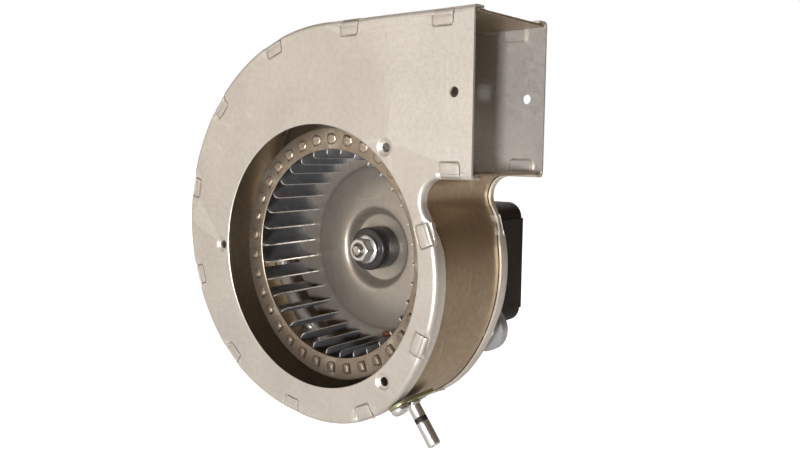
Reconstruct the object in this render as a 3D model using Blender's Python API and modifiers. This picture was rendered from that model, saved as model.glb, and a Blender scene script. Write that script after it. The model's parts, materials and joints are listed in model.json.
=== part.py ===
"""Combustion fan for a boiler: a sheet-metal scroll casing, a clinched blower wheel and a shaded-pole motor.

Every piece is drawn in the fan's own frame: x to the right, y upwards and z along the shaft towards the inlet.
The inlet face of the casing is the plane z = 0. The empty "fan_frame" stands that frame upright, with the
inlet towards world -Y and the outlet towards world +X.
"""

import math

import bmesh
import bpy
from mathutils import Matrix, Vector

MM = 0.001
CLEARANCE = 0.3 * MM

# Casing
CASING_DEPTH = 53.8 * MM
SHEET = 1.0 * MM
FOLD_RADIUS = 3.0 * MM
RIM_DEPTH = 6.4 * MM
RIM_DEPTH_AT_TONGUE = 4.0 * MM
INLET_RADIUS = 57.5 * MM
OUTLET_END_X = 81.9 * MM
OUTLET_TOP_Y = 99.6 * MM
OUTLET_BOTTOM_Y = 36.1 * MM
SCROLL_CONTROLS = (
    (84.0, 100.15 * MM),
    (135.0, 93.4 * MM),
    (180.0, 86.7 * MM),
    (220.0, 79.7 * MM),
    (255.0, 73.9 * MM),
    (300.0, 73.0 * MM),
    (330.0, 69.0 * MM),
    (369.0, 66.0 * MM),
)
SCROLL_STEP_DEG = 6.0
TONGUE_CENTRE = (67.5 * MM, 27.4 * MM)
TONGUE_RADIUS = 8.7 * MM
TONGUE_ARC_DEG = (214.0, 90.0)
TONGUE_ARC_STEPS = 9
TONGUE_BLEND_STEPS = 4
BOILER_HOLE_PITCH_RADIUS = 62.5 * MM
BOILER_HOLE_ANGLES = (50.0, 180.0, 310.0)
SMALL_HOLE_RADIUS = 2.0 * MM
OUTLET_HOLE = (73.6 * MM, 68.5 * MM)

# Tabs of the scroll wrapper, folded over the two plates. A station is a length along the outline in millimetres.
TAB_STATIONS_MM = (14, 61, 108, 155, 201, 247, 293, 339, 386, 434, 481, 512)
TAB_WIDTH = 9.5 * MM
TAB_REACH = 6.6 * MM
TAB_ROOT_INSET = 1.5 * MM
TAB_ROOT_THICKNESS = 0.6 * MM
TAB_ROOT_DEPTH = 6.0 * MM
WRAPPER_INSET = SHEET + CLEARANCE
WRAPPER_EDGE = 2.8 * MM

# Pressure tapping under the scroll
TAPPING_ANGLE = -52.2
TAPPING_DEPTH = 13.4 * MM
TAPPING_ROOT = 72.5 * MM
TAPPING_LENGTH = 21.6 * MM
TAPPING_RADIUS = 2.8 * MM
TAPPING_TIP_RADIUS = 2.9 * MM
TAPPING_COLLAR_RADIUS = 3.7 * MM
TAPPING_BORE = 1.6 * MM
BRACKET_LENGTH = 23.6 * MM
BRACKET_WIDTH = 11.0 * MM
BRACKET_THICKNESS = 1.5 * MM
BRACKET_MIDDLE_DEPTH = 12.2 * MM
BRACKET_SCREW_DEPTH = 4.8 * MM
BRACKET_SCREW_HEAD_RADIUS = 4.0 * MM
BRACKET_SCREW_HEAD_HEIGHT = 3.0 * MM

# Blower wheel
BLADE_COUNT = 34
BLADE_INNER_RADIUS = 44.0 * MM
BLADE_OUTER_RADIUS = 56.3 * MM
BLADE_LEAN_DEG = 8.0
BLADE_STEPS = 4
BLADE_SHEET = 0.6 * MM
BLADE_TAB_STEPS = (2, 3)
BLADE_TAB_PROUD = 1.2 * MM
BLADE_CUT_STEPS = 0.3
BLADE_CUT_BACK = 1.4 * MM
RING_FRONT = 11.8 * MM
RING_SHEET = 1.0 * MM
RING_INNER_RADIUS = 46.8 * MM
RING_OUTER_RADIUS = 56.6 * MM
DISC_FLANGE_FRONT = 45.3 * MM
DISC_SHEET = 0.8 * MM
DISC_FRONT = (
    (57.0 * MM, 45.3 * MM),
    (41.0 * MM, 45.3 * MM),
    (38.0 * MM, 44.2 * MM),
    (30.0 * MM, 42.4 * MM),
    (21.5 * MM, 41.5 * MM),
    (18.6 * MM, 42.6 * MM),
    (16.6 * MM, 46.4 * MM),
    (14.7 * MM, 47.5 * MM),
    (7.0 * MM, 47.5 * MM),
)
HUB_RADIUS = 10.1 * MM
HUB_FRONT = 35.8 * MM
HUB_NECK_RADIUS = 6.6 * MM
HUB_REAR = 52.0 * MM
NUT_ACROSS_FLATS = 10.0 * MM
NUT_FRONT = 29.3 * MM
NUT_FLANGE_RADIUS = 6.9 * MM
NUT_FLANGE_THICKNESS = 1.6 * MM
BALANCE_CLIP_ANGLE = -80.0
BALANCE_CLIP_RADIUS = 41.6 * MM
BALANCE_CLIP_SIZE = (2.4 * MM, 6.0 * MM, 3.0 * MM)

# Motor
SHAFT_RADIUS = 3.0 * MM
SHAFT_BORE = SHAFT_RADIUS + CLEARANCE
SHAFT_FRONT = 27.6 * MM
SHAFT_REAR = 127.0 * MM
STACK_FRONT = 82.0 * MM
STACK_REAR = 120.0 * MM
STACK_HALF_WIDTH = 34.0 * MM
STACK_TOP = 19.5 * MM
STACK_BOTTOM = -44.0 * MM
STACK_CORNER = 8.0 * MM
STACK_BAND_PROUD = 1.0 * MM
STACK_BORE = 12.6 * MM
ROTOR_CORE_RADIUS = 12.0 * MM
COIL_WINDOW_HALF_WIDTH = 20.0 * MM
COIL_WINDOW = (-31.0 * MM, -17.5 * MM)
BOBBIN_WALL = 1.0 * MM
BOBBIN_CHEEK = 1.2 * MM
WINDING_BUILD = 3.6 * MM
BEARING_RADIUS = 6.0 * MM
SPIDER_FRONT = 71.0 * MM
SPIDER_REAR = 76.0 * MM
SPIDER_LEG_PITCH_RADIUS = 57.0 * MM
SPIDER_LEG_ANGLES = (-41.5, 78.5, 198.5)
SPIDER_LOBE_RADIUS = 11.0 * MM
SPIDER_LEG_RADIUS = 5.0 * MM
SPIDER_HUB_RADIUS = 16.0 * MM
SPIDER_ARM_HALF_WIDTHS = (11.0 * MM, 6.5 * MM)
SPIDER_ARM_INSET = 0.4 * MM
SPIDER_BOSS_RADIUS = 5.5 * MM
SPIDER_BRIDGE = (9.0 * MM, 4.0 * MM)
REAR_BAR = (64.0 * MM, 15.0 * MM, 3.0 * MM)
REAR_HOUSING_RADIUS = 10.5 * MM
REAR_HOUSING_PROUD = 5.0 * MM
SCREW_RADIUS = 2.0 * MM
SCREW_BORE = SCREW_RADIUS + CLEARANCE
SCREW_HEAD_RADIUS = 3.8 * MM
SCREW_HEAD_HEIGHT = 2.6 * MM
MOTOR_SCREW_X = 26.0 * MM
COOLING_FAN_SPAN = (57.0 * MM, 67.5 * MM)
COOLING_FAN_RADIUS = 34.0 * MM
COOLING_HUB_RADIUS = 7.0 * MM
COOLING_SHEET = 1.5 * MM
COOLING_BLADE_COUNT = 7

# Colour, roughness and metallic value of each finish
FINISHES = {
    "galvanised_sheet": ((0.55, 0.52, 0.47), 0.42, 1.0),
    "aluminised_sheet": ((0.45, 0.42, 0.38), 0.38, 1.0),
    "bright_zinc": ((0.72, 0.72, 0.72), 0.25, 1.0),
    "yellow_zinc": ((0.62, 0.55, 0.30), 0.35, 1.0),
    "cast_alloy": ((0.66, 0.66, 0.67), 0.45, 1.0),
    "ground_steel": ((0.60, 0.60, 0.60), 0.25, 1.0),
    "black_lacquer": ((0.02, 0.018, 0.016), 0.45, 0.0),
    "black_rubber": ((0.02, 0.02, 0.02), 0.6, 0.0),
    "nylon": ((0.75, 0.72, 0.62), 0.5, 0.0),
    "enamelled_copper": ((0.45, 0.16, 0.06), 0.35, 1.0),
    "sintered_bronze": ((0.50, 0.33, 0.15), 0.4, 1.0),
    "copper_strip": ((0.50, 0.25, 0.14), 0.4, 1.0),
}


def clear_scene():
    for existing in list(bpy.data.objects):
        bpy.data.objects.remove(existing)


def new_collection(name, hidden=False):
    made = bpy.data.collections.new(name)
    bpy.context.scene.collection.children.link(made)
    made.hide_render = hidden
    return made


def new_empty(name, parent=None):
    empty = bpy.data.objects.new(name, None)
    PIECES.objects.link(empty)
    empty.parent = parent
    return empty


def dress(obj, finish):
    """Give the piece a material of its own in one of the named finishes."""
    colour, roughness, metallic = FINISHES[finish]
    material = bpy.data.materials.new(obj.name + "_" + finish)
    material.use_nodes = True
    shader = material.node_tree.nodes["Principled BSDF"]
    shader.inputs["Base Color"].default_value = (*colour, 1.0)
    shader.inputs["Roughness"].default_value = roughness
    shader.inputs["Metallic"].default_value = metallic
    obj.data.materials.append(material)


def piece(name, mesh, finish, parent, round_piece=True):
    """Add a named piece of the fan, in the frame of its parent."""
    obj = bpy.data.objects.new(name, mesh)
    PIECES.objects.link(obj)
    obj.parent = parent
    dress(obj, finish)
    if round_piece:
        mesh.shade_smooth()
        mesh.set_sharp_from_angle(angle=math.radians(40.0))
    return obj


def cutter(name, mesh, parent):
    obj = bpy.data.objects.new(name, mesh)
    CUTTERS.objects.link(obj)
    obj.parent = parent
    obj.hide_render = True
    obj.display_type = "WIRE"
    return obj


def boolean(obj, other, operation="DIFFERENCE"):
    modifier = obj.modifiers.new(operation.lower() + "_" + other.name, "BOOLEAN")
    modifier.operation = operation
    modifier.object = other


def finished_mesh(name, bm):
    bmesh.ops.recalc_face_normals(bm, faces=bm.faces)
    mesh = bpy.data.meshes.new(name)
    bm.to_mesh(mesh)
    bm.free()
    return mesh


def polar(radius, angle_deg):
    angle = math.radians(angle_deg)
    return Vector((radius * math.cos(angle), radius * math.sin(angle), 0.0))


def add_prism(bm, outline, z_low, z_high):
    """A closed outline given height along z."""
    floor = bm.faces.new([bm.verts.new((p[0], p[1], z_low)) for p in outline])
    grown = bmesh.ops.extrude_face_region(bm, geom=[floor])
    raised = [v for v in grown["geom"] if isinstance(v, bmesh.types.BMVert)]
    bmesh.ops.translate(bm, verts=raised, vec=(0.0, 0.0, z_high - z_low))


def add_post(bm, centre, radius, z_low, z_high, segments=20):
    """A cylinder along z that stands on the point centre."""
    middle = Matrix.Translation((centre[0], centre[1], (z_low + z_high) / 2))
    bmesh.ops.create_cone(
        bm, cap_ends=True, segments=segments, radius1=radius, radius2=radius, depth=z_high - z_low, matrix=middle
    )


def add_block(bm, size, place):
    bmesh.ops.create_cube(bm, size=1.0, matrix=place @ Matrix.Diagonal((*size, 1.0)))


def turned(name, profile, finish, parent, hollow, steps=40):
    """A profile of (radius, z) that runs down the outer side, turned about z. A hollow one closes on itself."""
    bm = bmesh.new()
    verts = [bm.verts.new((radius, 0.0, z)) for radius, z in profile]
    for first, second in zip(verts, verts[1:]):
        bm.edges.new((first, second))
    if hollow:
        bm.edges.new((verts[-1], verts[0]))
    mesh = bpy.data.meshes.new(name)
    bm.to_mesh(mesh)
    bm.free()
    obj = piece(name, mesh, finish, parent, round_piece=False)
    screw = obj.modifiers.new("turn", "SCREW")
    screw.steps = steps
    screw.render_steps = steps
    screw.use_merge_vertices = True
    screw.merge_threshold = 0.00002
    screw.use_smooth_shade = True
    return obj


def tube_profile(outer, inner, z_front, z_rear):
    return [(outer, z_front), (outer, z_rear), (inner, z_rear), (inner, z_front)]


def hermite(start, end, start_slope, end_slope, t):
    return (
        start * (2 * t**3 - 3 * t**2 + 1)
        + start_slope * (t**3 - 2 * t**2 + t)
        + end * (3 * t**2 - 2 * t**3)
        + end_slope * (t**3 - t**2)
    )


def scroll_radius(angle_deg):
    """Radius of the scroll at an angle, on a smooth curve through its control radii."""
    angles = [angle for angle, _ in SCROLL_CONTROLS]
    radii = [radius for _, radius in SCROLL_CONTROLS]
    last = len(angles) - 1
    slopes = []
    for i in range(len(angles)):
        before, after = max(i - 1, 0), min(i + 1, last)
        slopes.append((radii[after] - radii[before]) / (angles[after] - angles[before]))
    i = max(k for k in range(last) if angles[k] <= angle_deg or k == 0)
    span = angles[i + 1] - angles[i]
    t = (angle_deg - angles[i]) / span
    return hermite(radii[i], radii[i + 1], slopes[i] * span, slopes[i + 1] * span, t)


def casing_outline():
    """Outer outline of the casing plates from the outlet's top corner, round the scroll, to its bottom corner."""
    first_angle, last_angle = SCROLL_CONTROLS[0][0], SCROLL_CONTROLS[-1][0]
    points = [Vector((OUTLET_END_X, OUTLET_TOP_Y, 0.0)), Vector((OUTLET_END_X / 2, OUTLET_TOP_Y, 0.0))]
    count = round((last_angle - first_angle) / SCROLL_STEP_DEG)
    for k in range(count + 1):
        angle = first_angle + (last_angle - first_angle) * k / count
        points.append(polar(scroll_radius(angle), angle))
    centre = Vector((*TONGUE_CENTRE, 0.0))
    start, stop = TONGUE_ARC_DEG
    arc = [
        centre + polar(TONGUE_RADIUS, start + (stop - start) * k / TONGUE_ARC_STEPS)
        for k in range(TONGUE_ARC_STEPS + 1)
    ]
    leave = (points[-1] - points[-2]).normalized()
    arrive = (arc[1] - arc[0]).normalized()
    reach = (arc[0] - points[-1]).length
    scroll_end = points[-1]
    for k in range(1, TONGUE_BLEND_STEPS):
        points.append(hermite(scroll_end, arc[0], leave * reach, arrive * reach, k / TONGUE_BLEND_STEPS))
    points += arc
    points.append(Vector((OUTLET_END_X, OUTLET_BOTTOM_Y, 0.0)))
    return points


def inset_path(points, inset):
    """The open path moved to its left, towards the airway."""
    moved = []
    last = len(points) - 1
    for i, point in enumerate(points):
        before = (points[i] - points[i - 1]).normalized() if i > 0 else None
        after = (points[i + 1] - points[i]).normalized() if i < last else None
        before, after = before or after, after or before
        along = (before + after).normalized()
        left = Vector((-along.y, along.x, 0.0))
        moved.append(point + left * inset / along.dot(after))
    return moved


def station(points, length):
    """The point at a length along the path, and the direction of the path there."""
    for first, second in zip(points, points[1:]):
        side = second - first
        if length <= side.length:
            return first + side.normalized() * length, side.normalized()
        length -= side.length
    return points[-1], (points[-1] - points[-2]).normalized()


def station_frame(points, length):
    """Axes of a tab: x along the outline, y towards the airway, z towards the inlet."""
    place, along = station(points, length)
    left = Vector((-along.y, along.x, 0.0))
    turn = Matrix((along, left, Vector((0.0, 0.0, 1.0)))).transposed().to_4x4()
    return Matrix.Translation(place) @ turn


def rim_depth(point):
    """The rim is narrower round the tongue, where the sheet is drawn over a hollow curve."""
    distance = (point - Vector((*TONGUE_CENTRE, 0.0))).length
    blend = min(max((distance - TONGUE_RADIUS * 1.3) / TONGUE_RADIUS, 0.0), 1.0)
    return RIM_DEPTH_AT_TONGUE + (RIM_DEPTH - RIM_DEPTH_AT_TONGUE) * blend


def add_tab_windows(bm, outline, front):
    """Windows in a plate's edge, through which the wrapper's tabs come."""
    window = (TAB_WIDTH + 2 * CLEARANCE, TAB_REACH + CLEARANCE - SHEET, 4 * FOLD_RADIUS)
    middle_inset = (TAB_REACH + CLEARANCE + SHEET) / 2 - CLEARANCE / 4
    for length in TAB_STATIONS_MM:
        frame = station_frame(outline, length * MM)
        face = 0.0 if front else -CASING_DEPTH
        add_block(bm, window, frame @ Matrix.Translation((0.0, middle_inset, face)))


def casing_plate(name, front):
    """A pressed plate: a flat face, a rounded fold and a rim that wraps the outside of the scroll wrapper."""
    outline = casing_outline()
    inward = -1.0 if front else 1.0
    face_z = 0.0 if front else -CASING_DEPTH
    bm = bmesh.new()
    edge = [bm.verts.new((p.x, p.y, face_z)) for p in outline]
    rim = [bm.verts.new((p.x, p.y, face_z + inward * rim_depth(p))) for p in outline]
    bm.faces.new(edge if front else edge[::-1])
    for i in range(len(outline) - 1):
        side = (edge[i], rim[i], rim[i + 1], edge[i + 1])
        bm.faces.new(side if front else side[::-1])
    crease = bm.edges.layers.float.new("bevel_weight_edge")
    for first, second in zip(edge, edge[1:]):
        bm.edges.get((first, second))[crease] = 1.0
    mesh = bpy.data.meshes.new(name)
    bm.to_mesh(mesh)
    bm.free()
    plate = piece(name, mesh, "galvanised_sheet", FAN)
    fold = plate.modifiers.new("fold", "BEVEL")
    fold.width = FOLD_RADIUS
    fold.segments = 2
    fold.limit_method = "WEIGHT"
    fold.use_clamp_overlap = False
    sheet = plate.modifiers.new("sheet", "SOLIDIFY")
    sheet.thickness = SHEET
    sheet.offset = -1.0
    sheet.use_even_offset = True

    cuts = bmesh.new()
    reach = 4 * SHEET
    holes = [(polar(BOILER_HOLE_PITCH_RADIUS, a), SMALL_HOLE_RADIUS) for a in BOILER_HOLE_ANGLES] if front else []
    holes.append((OUTLET_HOLE, SMALL_HOLE_RADIUS))
    if front:
        add_post(cuts, (0.0, 0.0), INLET_RADIUS, face_z - reach, face_z + reach, segments=72)
    else:
        add_post(cuts, (0.0, 0.0), HUB_RADIUS, face_z - reach, face_z + reach, segments=24)
        holes += [(polar(SPIDER_LEG_PITCH_RADIUS, a), SCREW_BORE) for a in SPIDER_LEG_ANGLES]
    for centre, radius in holes:
        add_post(cuts, centre, radius, face_z - reach, face_z + reach, segments=14)
    add_tab_windows(cuts, outline, front)
    boolean(plate, cutter(name + "_cuts", finished_mesh(name + "_cuts", cuts), FAN))
    return plate


def scroll_wrapper():
    """The strip between the plates, with tabs at both edges that fold over them."""
    outline = casing_outline()
    wall = inset_path(outline, WRAPPER_INSET)
    z_front, z_rear = -WRAPPER_EDGE, -(CASING_DEPTH - WRAPPER_EDGE)
    bm = bmesh.new()
    upper = [bm.verts.new((p.x, p.y, z_front)) for p in wall]
    lower = [bm.verts.new((p.x, p.y, z_rear)) for p in wall]
    for i in range(len(wall) - 1):
        bm.faces.new((upper[i], lower[i], lower[i + 1], upper[i + 1]))
    mesh = bpy.data.meshes.new("scroll_wrapper")
    bm.to_mesh(mesh)
    bm.free()
    wrapper = piece("scroll_wrapper", mesh, "aluminised_sheet", FAN)
    sheet = wrapper.modifiers.new("sheet", "SOLIDIFY")
    sheet.thickness = SHEET
    sheet.offset = -1.0
    sheet.use_even_offset = True

    tabs = bmesh.new()
    for face_z, inward in ((0.0, -1.0), (-CASING_DEPTH, 1.0)):
        for length in TAB_STATIONS_MM:
            frame = station_frame(outline, length * MM)
            section = [
                (TAB_ROOT_INSET, 0.0),
                (TAB_REACH - CLEARANCE, 0.0),
                (TAB_REACH - CLEARANCE, inward * SHEET),
                (TAB_ROOT_INSET + TAB_ROOT_THICKNESS, inward * SHEET),
                (TAB_ROOT_INSET + TAB_ROOT_THICKNESS, inward * TAB_ROOT_DEPTH),
                (TAB_ROOT_INSET, inward * TAB_ROOT_DEPTH),
            ]
            half = TAB_WIDTH / 2
            near = [tabs.verts.new(frame @ Vector((-half, y, face_z + z))) for y, z in section]
            far = [tabs.verts.new(frame @ Vector((half, y, face_z + z))) for y, z in section]
            tabs.faces.new(near)
            tabs.faces.new(far[::-1])
            for i in range(len(section)):
                j = (i + 1) % len(section)
                tabs.faces.new((near[i], far[i], far[j], near[j]))
    boolean(wrapper, cutter("wrapper_tabs", finished_mesh("wrapper_tabs", tabs), FAN), "UNION")
    return wrapper


def tapping_frame():
    """Axes of the pressure tapping: z along the tube, outwards, and y along the shaft."""
    outwards = polar(1.0, TAPPING_ANGLE)
    along_shaft = Vector((0.0, 0.0, 1.0))
    across = along_shaft.cross(outwards)
    turn = Matrix((across, along_shaft, outwards)).transposed().to_4x4()
    return turn


def tapping():
    """The pressure tapping: a tube on a small bracket, held under the scroll by one screw."""
    turn = tapping_frame()
    holder = new_empty("tapping_frame", FAN)
    holder.matrix_local = turn
    root = TAPPING_ROOT

    bm = bmesh.new()
    size = (BRACKET_WIDTH, BRACKET_LENGTH, BRACKET_THICKNESS)
    add_block(bm, size, Matrix.Translation((0.0, -BRACKET_MIDDLE_DEPTH, root + BRACKET_THICKNESS / 2)))
    bracket = piece("tapping_bracket", finished_mesh("tapping_bracket", bm), "yellow_zinc", holder)
    corners = bracket.modifiers.new("corners", "BEVEL")
    corners.width = 0.4 * MM
    corners.segments = 1
    cuts = bmesh.new()
    for depth, radius in ((TAPPING_DEPTH, TAPPING_RADIUS), (BRACKET_SCREW_DEPTH, SCREW_RADIUS)):
        add_post(cuts, (0.0, -depth), radius + CLEARANCE, root - SHEET, root + 4 * SHEET, segments=18)
    boolean(bracket, cutter("bracket_cuts", finished_mesh("bracket_cuts", cuts), holder))

    seat = root + BRACKET_THICKNESS + CLEARANCE
    tip = root + TAPPING_LENGTH
    tube = turned(
        "tapping_tube",
        [
            (TAPPING_TIP_RADIUS - 0.5 * MM, tip),
            (TAPPING_TIP_RADIUS, tip - 0.6 * MM),
            (TAPPING_TIP_RADIUS, tip - 9.0 * MM),
            (TAPPING_RADIUS, tip - 10.0 * MM),
            (TAPPING_RADIUS, seat + 1.6 * MM),
            (TAPPING_COLLAR_RADIUS, seat + 1.6 * MM),
            (TAPPING_COLLAR_RADIUS, seat),
            (TAPPING_RADIUS, seat),
            (TAPPING_RADIUS, root + CLEARANCE),
            (TAPPING_BORE, root + CLEARANCE),
            (TAPPING_BORE, tip),
        ],
        "bright_zinc",
        holder,
        hollow=True,
        steps=24,
    )
    tube.location = (0.0, -TAPPING_DEPTH, 0.0)

    screw = turned(
        "tapping_screw",
        [
            (0.0, seat + BRACKET_SCREW_HEAD_HEIGHT),
            (0.55 * BRACKET_SCREW_HEAD_RADIUS, seat + 0.93 * BRACKET_SCREW_HEAD_HEIGHT),
            (BRACKET_SCREW_HEAD_RADIUS, seat + 0.4 * BRACKET_SCREW_HEAD_HEIGHT),
            (BRACKET_SCREW_HEAD_RADIUS, seat),
            (SCREW_RADIUS, seat),
            (SCREW_RADIUS, root + CLEARANCE),
            (0.0, root + CLEARANCE),
        ],
        "bright_zinc",
        holder,
        hollow=False,
        steps=20,
    )
    screw.location = (0.0, -BRACKET_SCREW_DEPTH, 0.0)


def blade_point(step):
    """A point of the blade's middle line: nearly radial at the eye, leaning forward at the tip."""
    share = step / BLADE_STEPS
    radius = BLADE_INNER_RADIUS + (BLADE_OUTER_RADIUS - BLADE_INNER_RADIUS) * share
    return polar(radius, -BLADE_LEAN_DEG * share**2)


def blade_mesh():
    """A forward-curved blade with one tab at each end, and its eye corner cut back to the front ring."""
    front = -(RING_FRONT + RING_SHEET + CLEARANCE)
    rear = -(DISC_FLANGE_FRONT - CLEARANCE)
    levels = (front, front - BLADE_CUT_BACK, rear)
    bm = bmesh.new()
    rows = []
    for z in levels:
        rows.append([bm.verts.new((*blade_point(s).xy, z)) for s in range(BLADE_STEPS + 1)])
    rows[0][0].co.xy = blade_point(BLADE_CUT_STEPS).xy
    for upper, lower in zip(rows, rows[1:]):
        for s in range(BLADE_STEPS):
            bm.faces.new((upper[s], lower[s], lower[s + 1], upper[s + 1]))
    first, last = BLADE_TAB_STEPS
    front_tab_z = -(RING_FRONT - BLADE_TAB_PROUD)
    rear_tab_z = -(DISC_FLANGE_FRONT + DISC_SHEET + BLADE_TAB_PROUD)
    for row, tab_z in ((rows[0], front_tab_z), (rows[-1], rear_tab_z)):
        tips = [bm.verts.new((*blade_point(s).xy, tab_z)) for s in range(first, last + 1)]
        for i in range(last - first):
            bm.faces.new((tips[i], row[first + i], row[first + i + 1], tips[i + 1]))
    return finished_mesh("blade", bm)


def add_tab_slots(bm, z_middle):
    """Slots for the blades' tabs, through a sheet at z_middle."""
    first, last = BLADE_TAB_STEPS
    start, end = blade_point(first), blade_point(last)
    middle = (start + end) / 2
    along = (end - start).normalized()
    lean = math.atan2(along.y, along.x)
    slot = ((end - start).length + 3 * CLEARANCE, BLADE_SHEET + 3 * CLEARANCE, 6 * RING_SHEET)
    for k in range(BLADE_COUNT):
        around = Matrix.Rotation(math.tau * k / BLADE_COUNT, 4, "Z")
        place = Matrix.Translation((middle.x, middle.y, z_middle)) @ Matrix.Rotation(lean, 4, "Z")
        add_block(bm, slot, around @ place)


def blower_wheel():
    """The wheel: separate blades clinched between a front ring and a domed disc, on a rubber hub."""
    blade = blade_mesh()
    for k in range(BLADE_COUNT):
        copy = blade.copy()
        obj = piece(f"blade_{k + 1:02d}", copy, "galvanised_sheet", ROTOR)
        obj.rotation_euler.z = math.tau * k / BLADE_COUNT
        sheet = obj.modifiers.new("sheet", "SOLIDIFY")
        sheet.thickness = BLADE_SHEET
        sheet.offset = 0.0
    bpy.data.meshes.remove(blade)

    ring = turned(
        "front_ring",
        tube_profile(RING_OUTER_RADIUS, RING_INNER_RADIUS, -RING_FRONT, -(RING_FRONT + RING_SHEET)),
        "galvanised_sheet",
        ROTOR,
        hollow=True,
        steps=56,
    )
    front_slots = bmesh.new()
    add_tab_slots(front_slots, -RING_FRONT)
    boolean(ring, cutter("ring_slots", finished_mesh("ring_slots", front_slots), ROTOR))

    front_face = [(radius, -depth) for radius, depth in DISC_FRONT]
    rear_face = [(radius, -depth - DISC_SHEET) for radius, depth in DISC_FRONT]
    disc_outline = rear_face + front_face[::-1]
    disc = turned("impeller_disc", disc_outline, "galvanised_sheet", ROTOR, hollow=True, steps=44)
    rear_slots = bmesh.new()
    add_tab_slots(rear_slots, -DISC_FLANGE_FRONT)
    boolean(disc, cutter("disc_slots", finished_mesh("disc_slots", rear_slots), ROTOR))

    disc_floor = DISC_FRONT[-1][1]
    turned(
        "impeller_hub",
        [
            (HUB_RADIUS - 0.6 * MM, -HUB_FRONT),
            (HUB_RADIUS, -HUB_FRONT - 0.6 * MM),
            (HUB_RADIUS, -disc_floor + CLEARANCE),
            (HUB_NECK_RADIUS, -disc_floor + CLEARANCE),
            (HUB_NECK_RADIUS, -HUB_REAR),
            (SHAFT_BORE, -HUB_REAR),
            (SHAFT_BORE, -HUB_FRONT),
        ],
        "black_rubber",
        ROTOR,
        hollow=True,
        steps=32,
    )
    hub_nut()

    bm = bmesh.new()
    clip_place = Matrix.Rotation(math.radians(BALANCE_CLIP_ANGLE), 4, "Z") @ Matrix.Translation(
        (BALANCE_CLIP_RADIUS, 0.0, -DISC_FLANGE_FRONT + CLEARANCE + BALANCE_CLIP_SIZE[2] / 2)
    )
    add_block(bm, BALANCE_CLIP_SIZE, clip_place)
    clip = piece("balance_clip", finished_mesh("balance_clip", bm), "copper_strip", ROTOR)
    rounding = clip.modifiers.new("rounding", "BEVEL")
    rounding.width = 0.5 * MM
    rounding.segments = 2


def hub_nut():
    """A flanged hexagon nut on the threaded end of the shaft."""
    flange_rear = -(HUB_FRONT - CLEARANCE)
    bm = bmesh.new()
    corner_radius = NUT_ACROSS_FLATS / math.sqrt(3.0)
    add_post(bm, (0.0, 0.0), corner_radius, flange_rear + NUT_FLANGE_THICKNESS / 2, -NUT_FRONT, segments=6)
    nut = piece("hub_nut", finished_mesh("hub_nut", bm), "bright_zinc", ROTOR)
    flange = bmesh.new()
    add_post(flange, (0.0, 0.0), NUT_FLANGE_RADIUS, flange_rear, flange_rear + NUT_FLANGE_THICKNESS, segments=32)
    boolean(nut, cutter("nut_flange", finished_mesh("nut_flange", flange), ROTOR), "UNION")
    bore = bmesh.new()
    add_post(bore, (0.0, 0.0), SHAFT_BORE, flange_rear - SHEET, -NUT_FRONT + SHEET, segments=24)
    boolean(nut, cutter("nut_bore", finished_mesh("nut_bore", bore), ROTOR))


def motor_rotor():
    turned(
        "motor_shaft",
        [
            (0.0, -SHAFT_FRONT),
            (SHAFT_RADIUS - 0.6 * MM, -SHAFT_FRONT),
            (SHAFT_RADIUS, -SHAFT_FRONT - 0.6 * MM),
            (SHAFT_RADIUS, -SHAFT_REAR + 0.5 * MM),
            (SHAFT_RADIUS - 0.5 * MM, -SHAFT_REAR),
            (0.0, -SHAFT_REAR),
        ],
        "ground_steel",
        ROTOR,
        hollow=False,
        steps=24,
    )
    turned(
        "rotor_core",
        tube_profile(ROTOR_CORE_RADIUS, SHAFT_BORE, -(STACK_FRONT + SHEET), -(STACK_REAR - SHEET)),
        "ground_steel",
        ROTOR,
        hollow=True,
    )
    front, rear = COOLING_FAN_SPAN
    hub = tube_profile(COOLING_HUB_RADIUS, SHAFT_BORE, -front, -rear)
    fan = turned("cooling_fan", hub, "nylon", ROTOR, hollow=True, steps=24)
    plate_front = rear - COOLING_SHEET
    plate = bmesh.new()
    add_post(plate, (0.0, 0.0), COOLING_FAN_RADIUS, -rear, -plate_front, segments=36)
    boolean(fan, cutter("cooling_plate", finished_mesh("cooling_plate", plate), ROTOR), "UNION")
    paddles = bmesh.new()
    start = COOLING_HUB_RADIUS - SHEET
    paddle = (COOLING_FAN_RADIUS - SHEET - start, COOLING_SHEET, plate_front - front)
    for k in range(COOLING_BLADE_COUNT):
        place = Matrix.Rotation(math.tau * k / COOLING_BLADE_COUNT, 4, "Z") @ Matrix.Translation(
            (start + paddle[0] / 2, 0.0, -(front + plate_front) / 2 - SHEET / 2)
        )
        add_block(paddles, paddle, place)
    boolean(fan, cutter("cooling_paddles", finished_mesh("cooling_paddles", paddles), ROTOR), "UNION")
    bore = bmesh.new()
    add_post(bore, (0.0, 0.0), SHAFT_BORE, -rear - SHEET, -front + SHEET, segments=24)
    boolean(fan, cutter("cooling_bore", finished_mesh("cooling_bore", bore), ROTOR))


def rounded_corner(centre, radius, start_deg, steps=4):
    return [Vector((*centre, 0.0)) + polar(radius, start_deg + 90.0 * k / steps) for k in range(steps + 1)]


def stack_outline():
    """A rectangle with round corners, whose sides stand slightly proud between the corners."""
    half, top, bottom, corner = STACK_HALF_WIDTH, STACK_TOP, STACK_BOTTOM, STACK_CORNER
    outline = rounded_corner((half - corner, top - corner), corner, 0.0)
    outline += rounded_corner((-half + corner, top - corner), corner, 90.0)
    proud = half + STACK_BAND_PROUD
    outline += [Vector((-proud, top - corner, 0.0)), Vector((-proud, bottom + corner, 0.0))]
    outline += rounded_corner((-half + corner, bottom + corner), corner, 180.0)
    outline += rounded_corner((half - corner, bottom + corner), corner, 270.0)
    return outline + [Vector((proud, bottom + corner, 0.0)), Vector((proud, top - corner, 0.0))]


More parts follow.
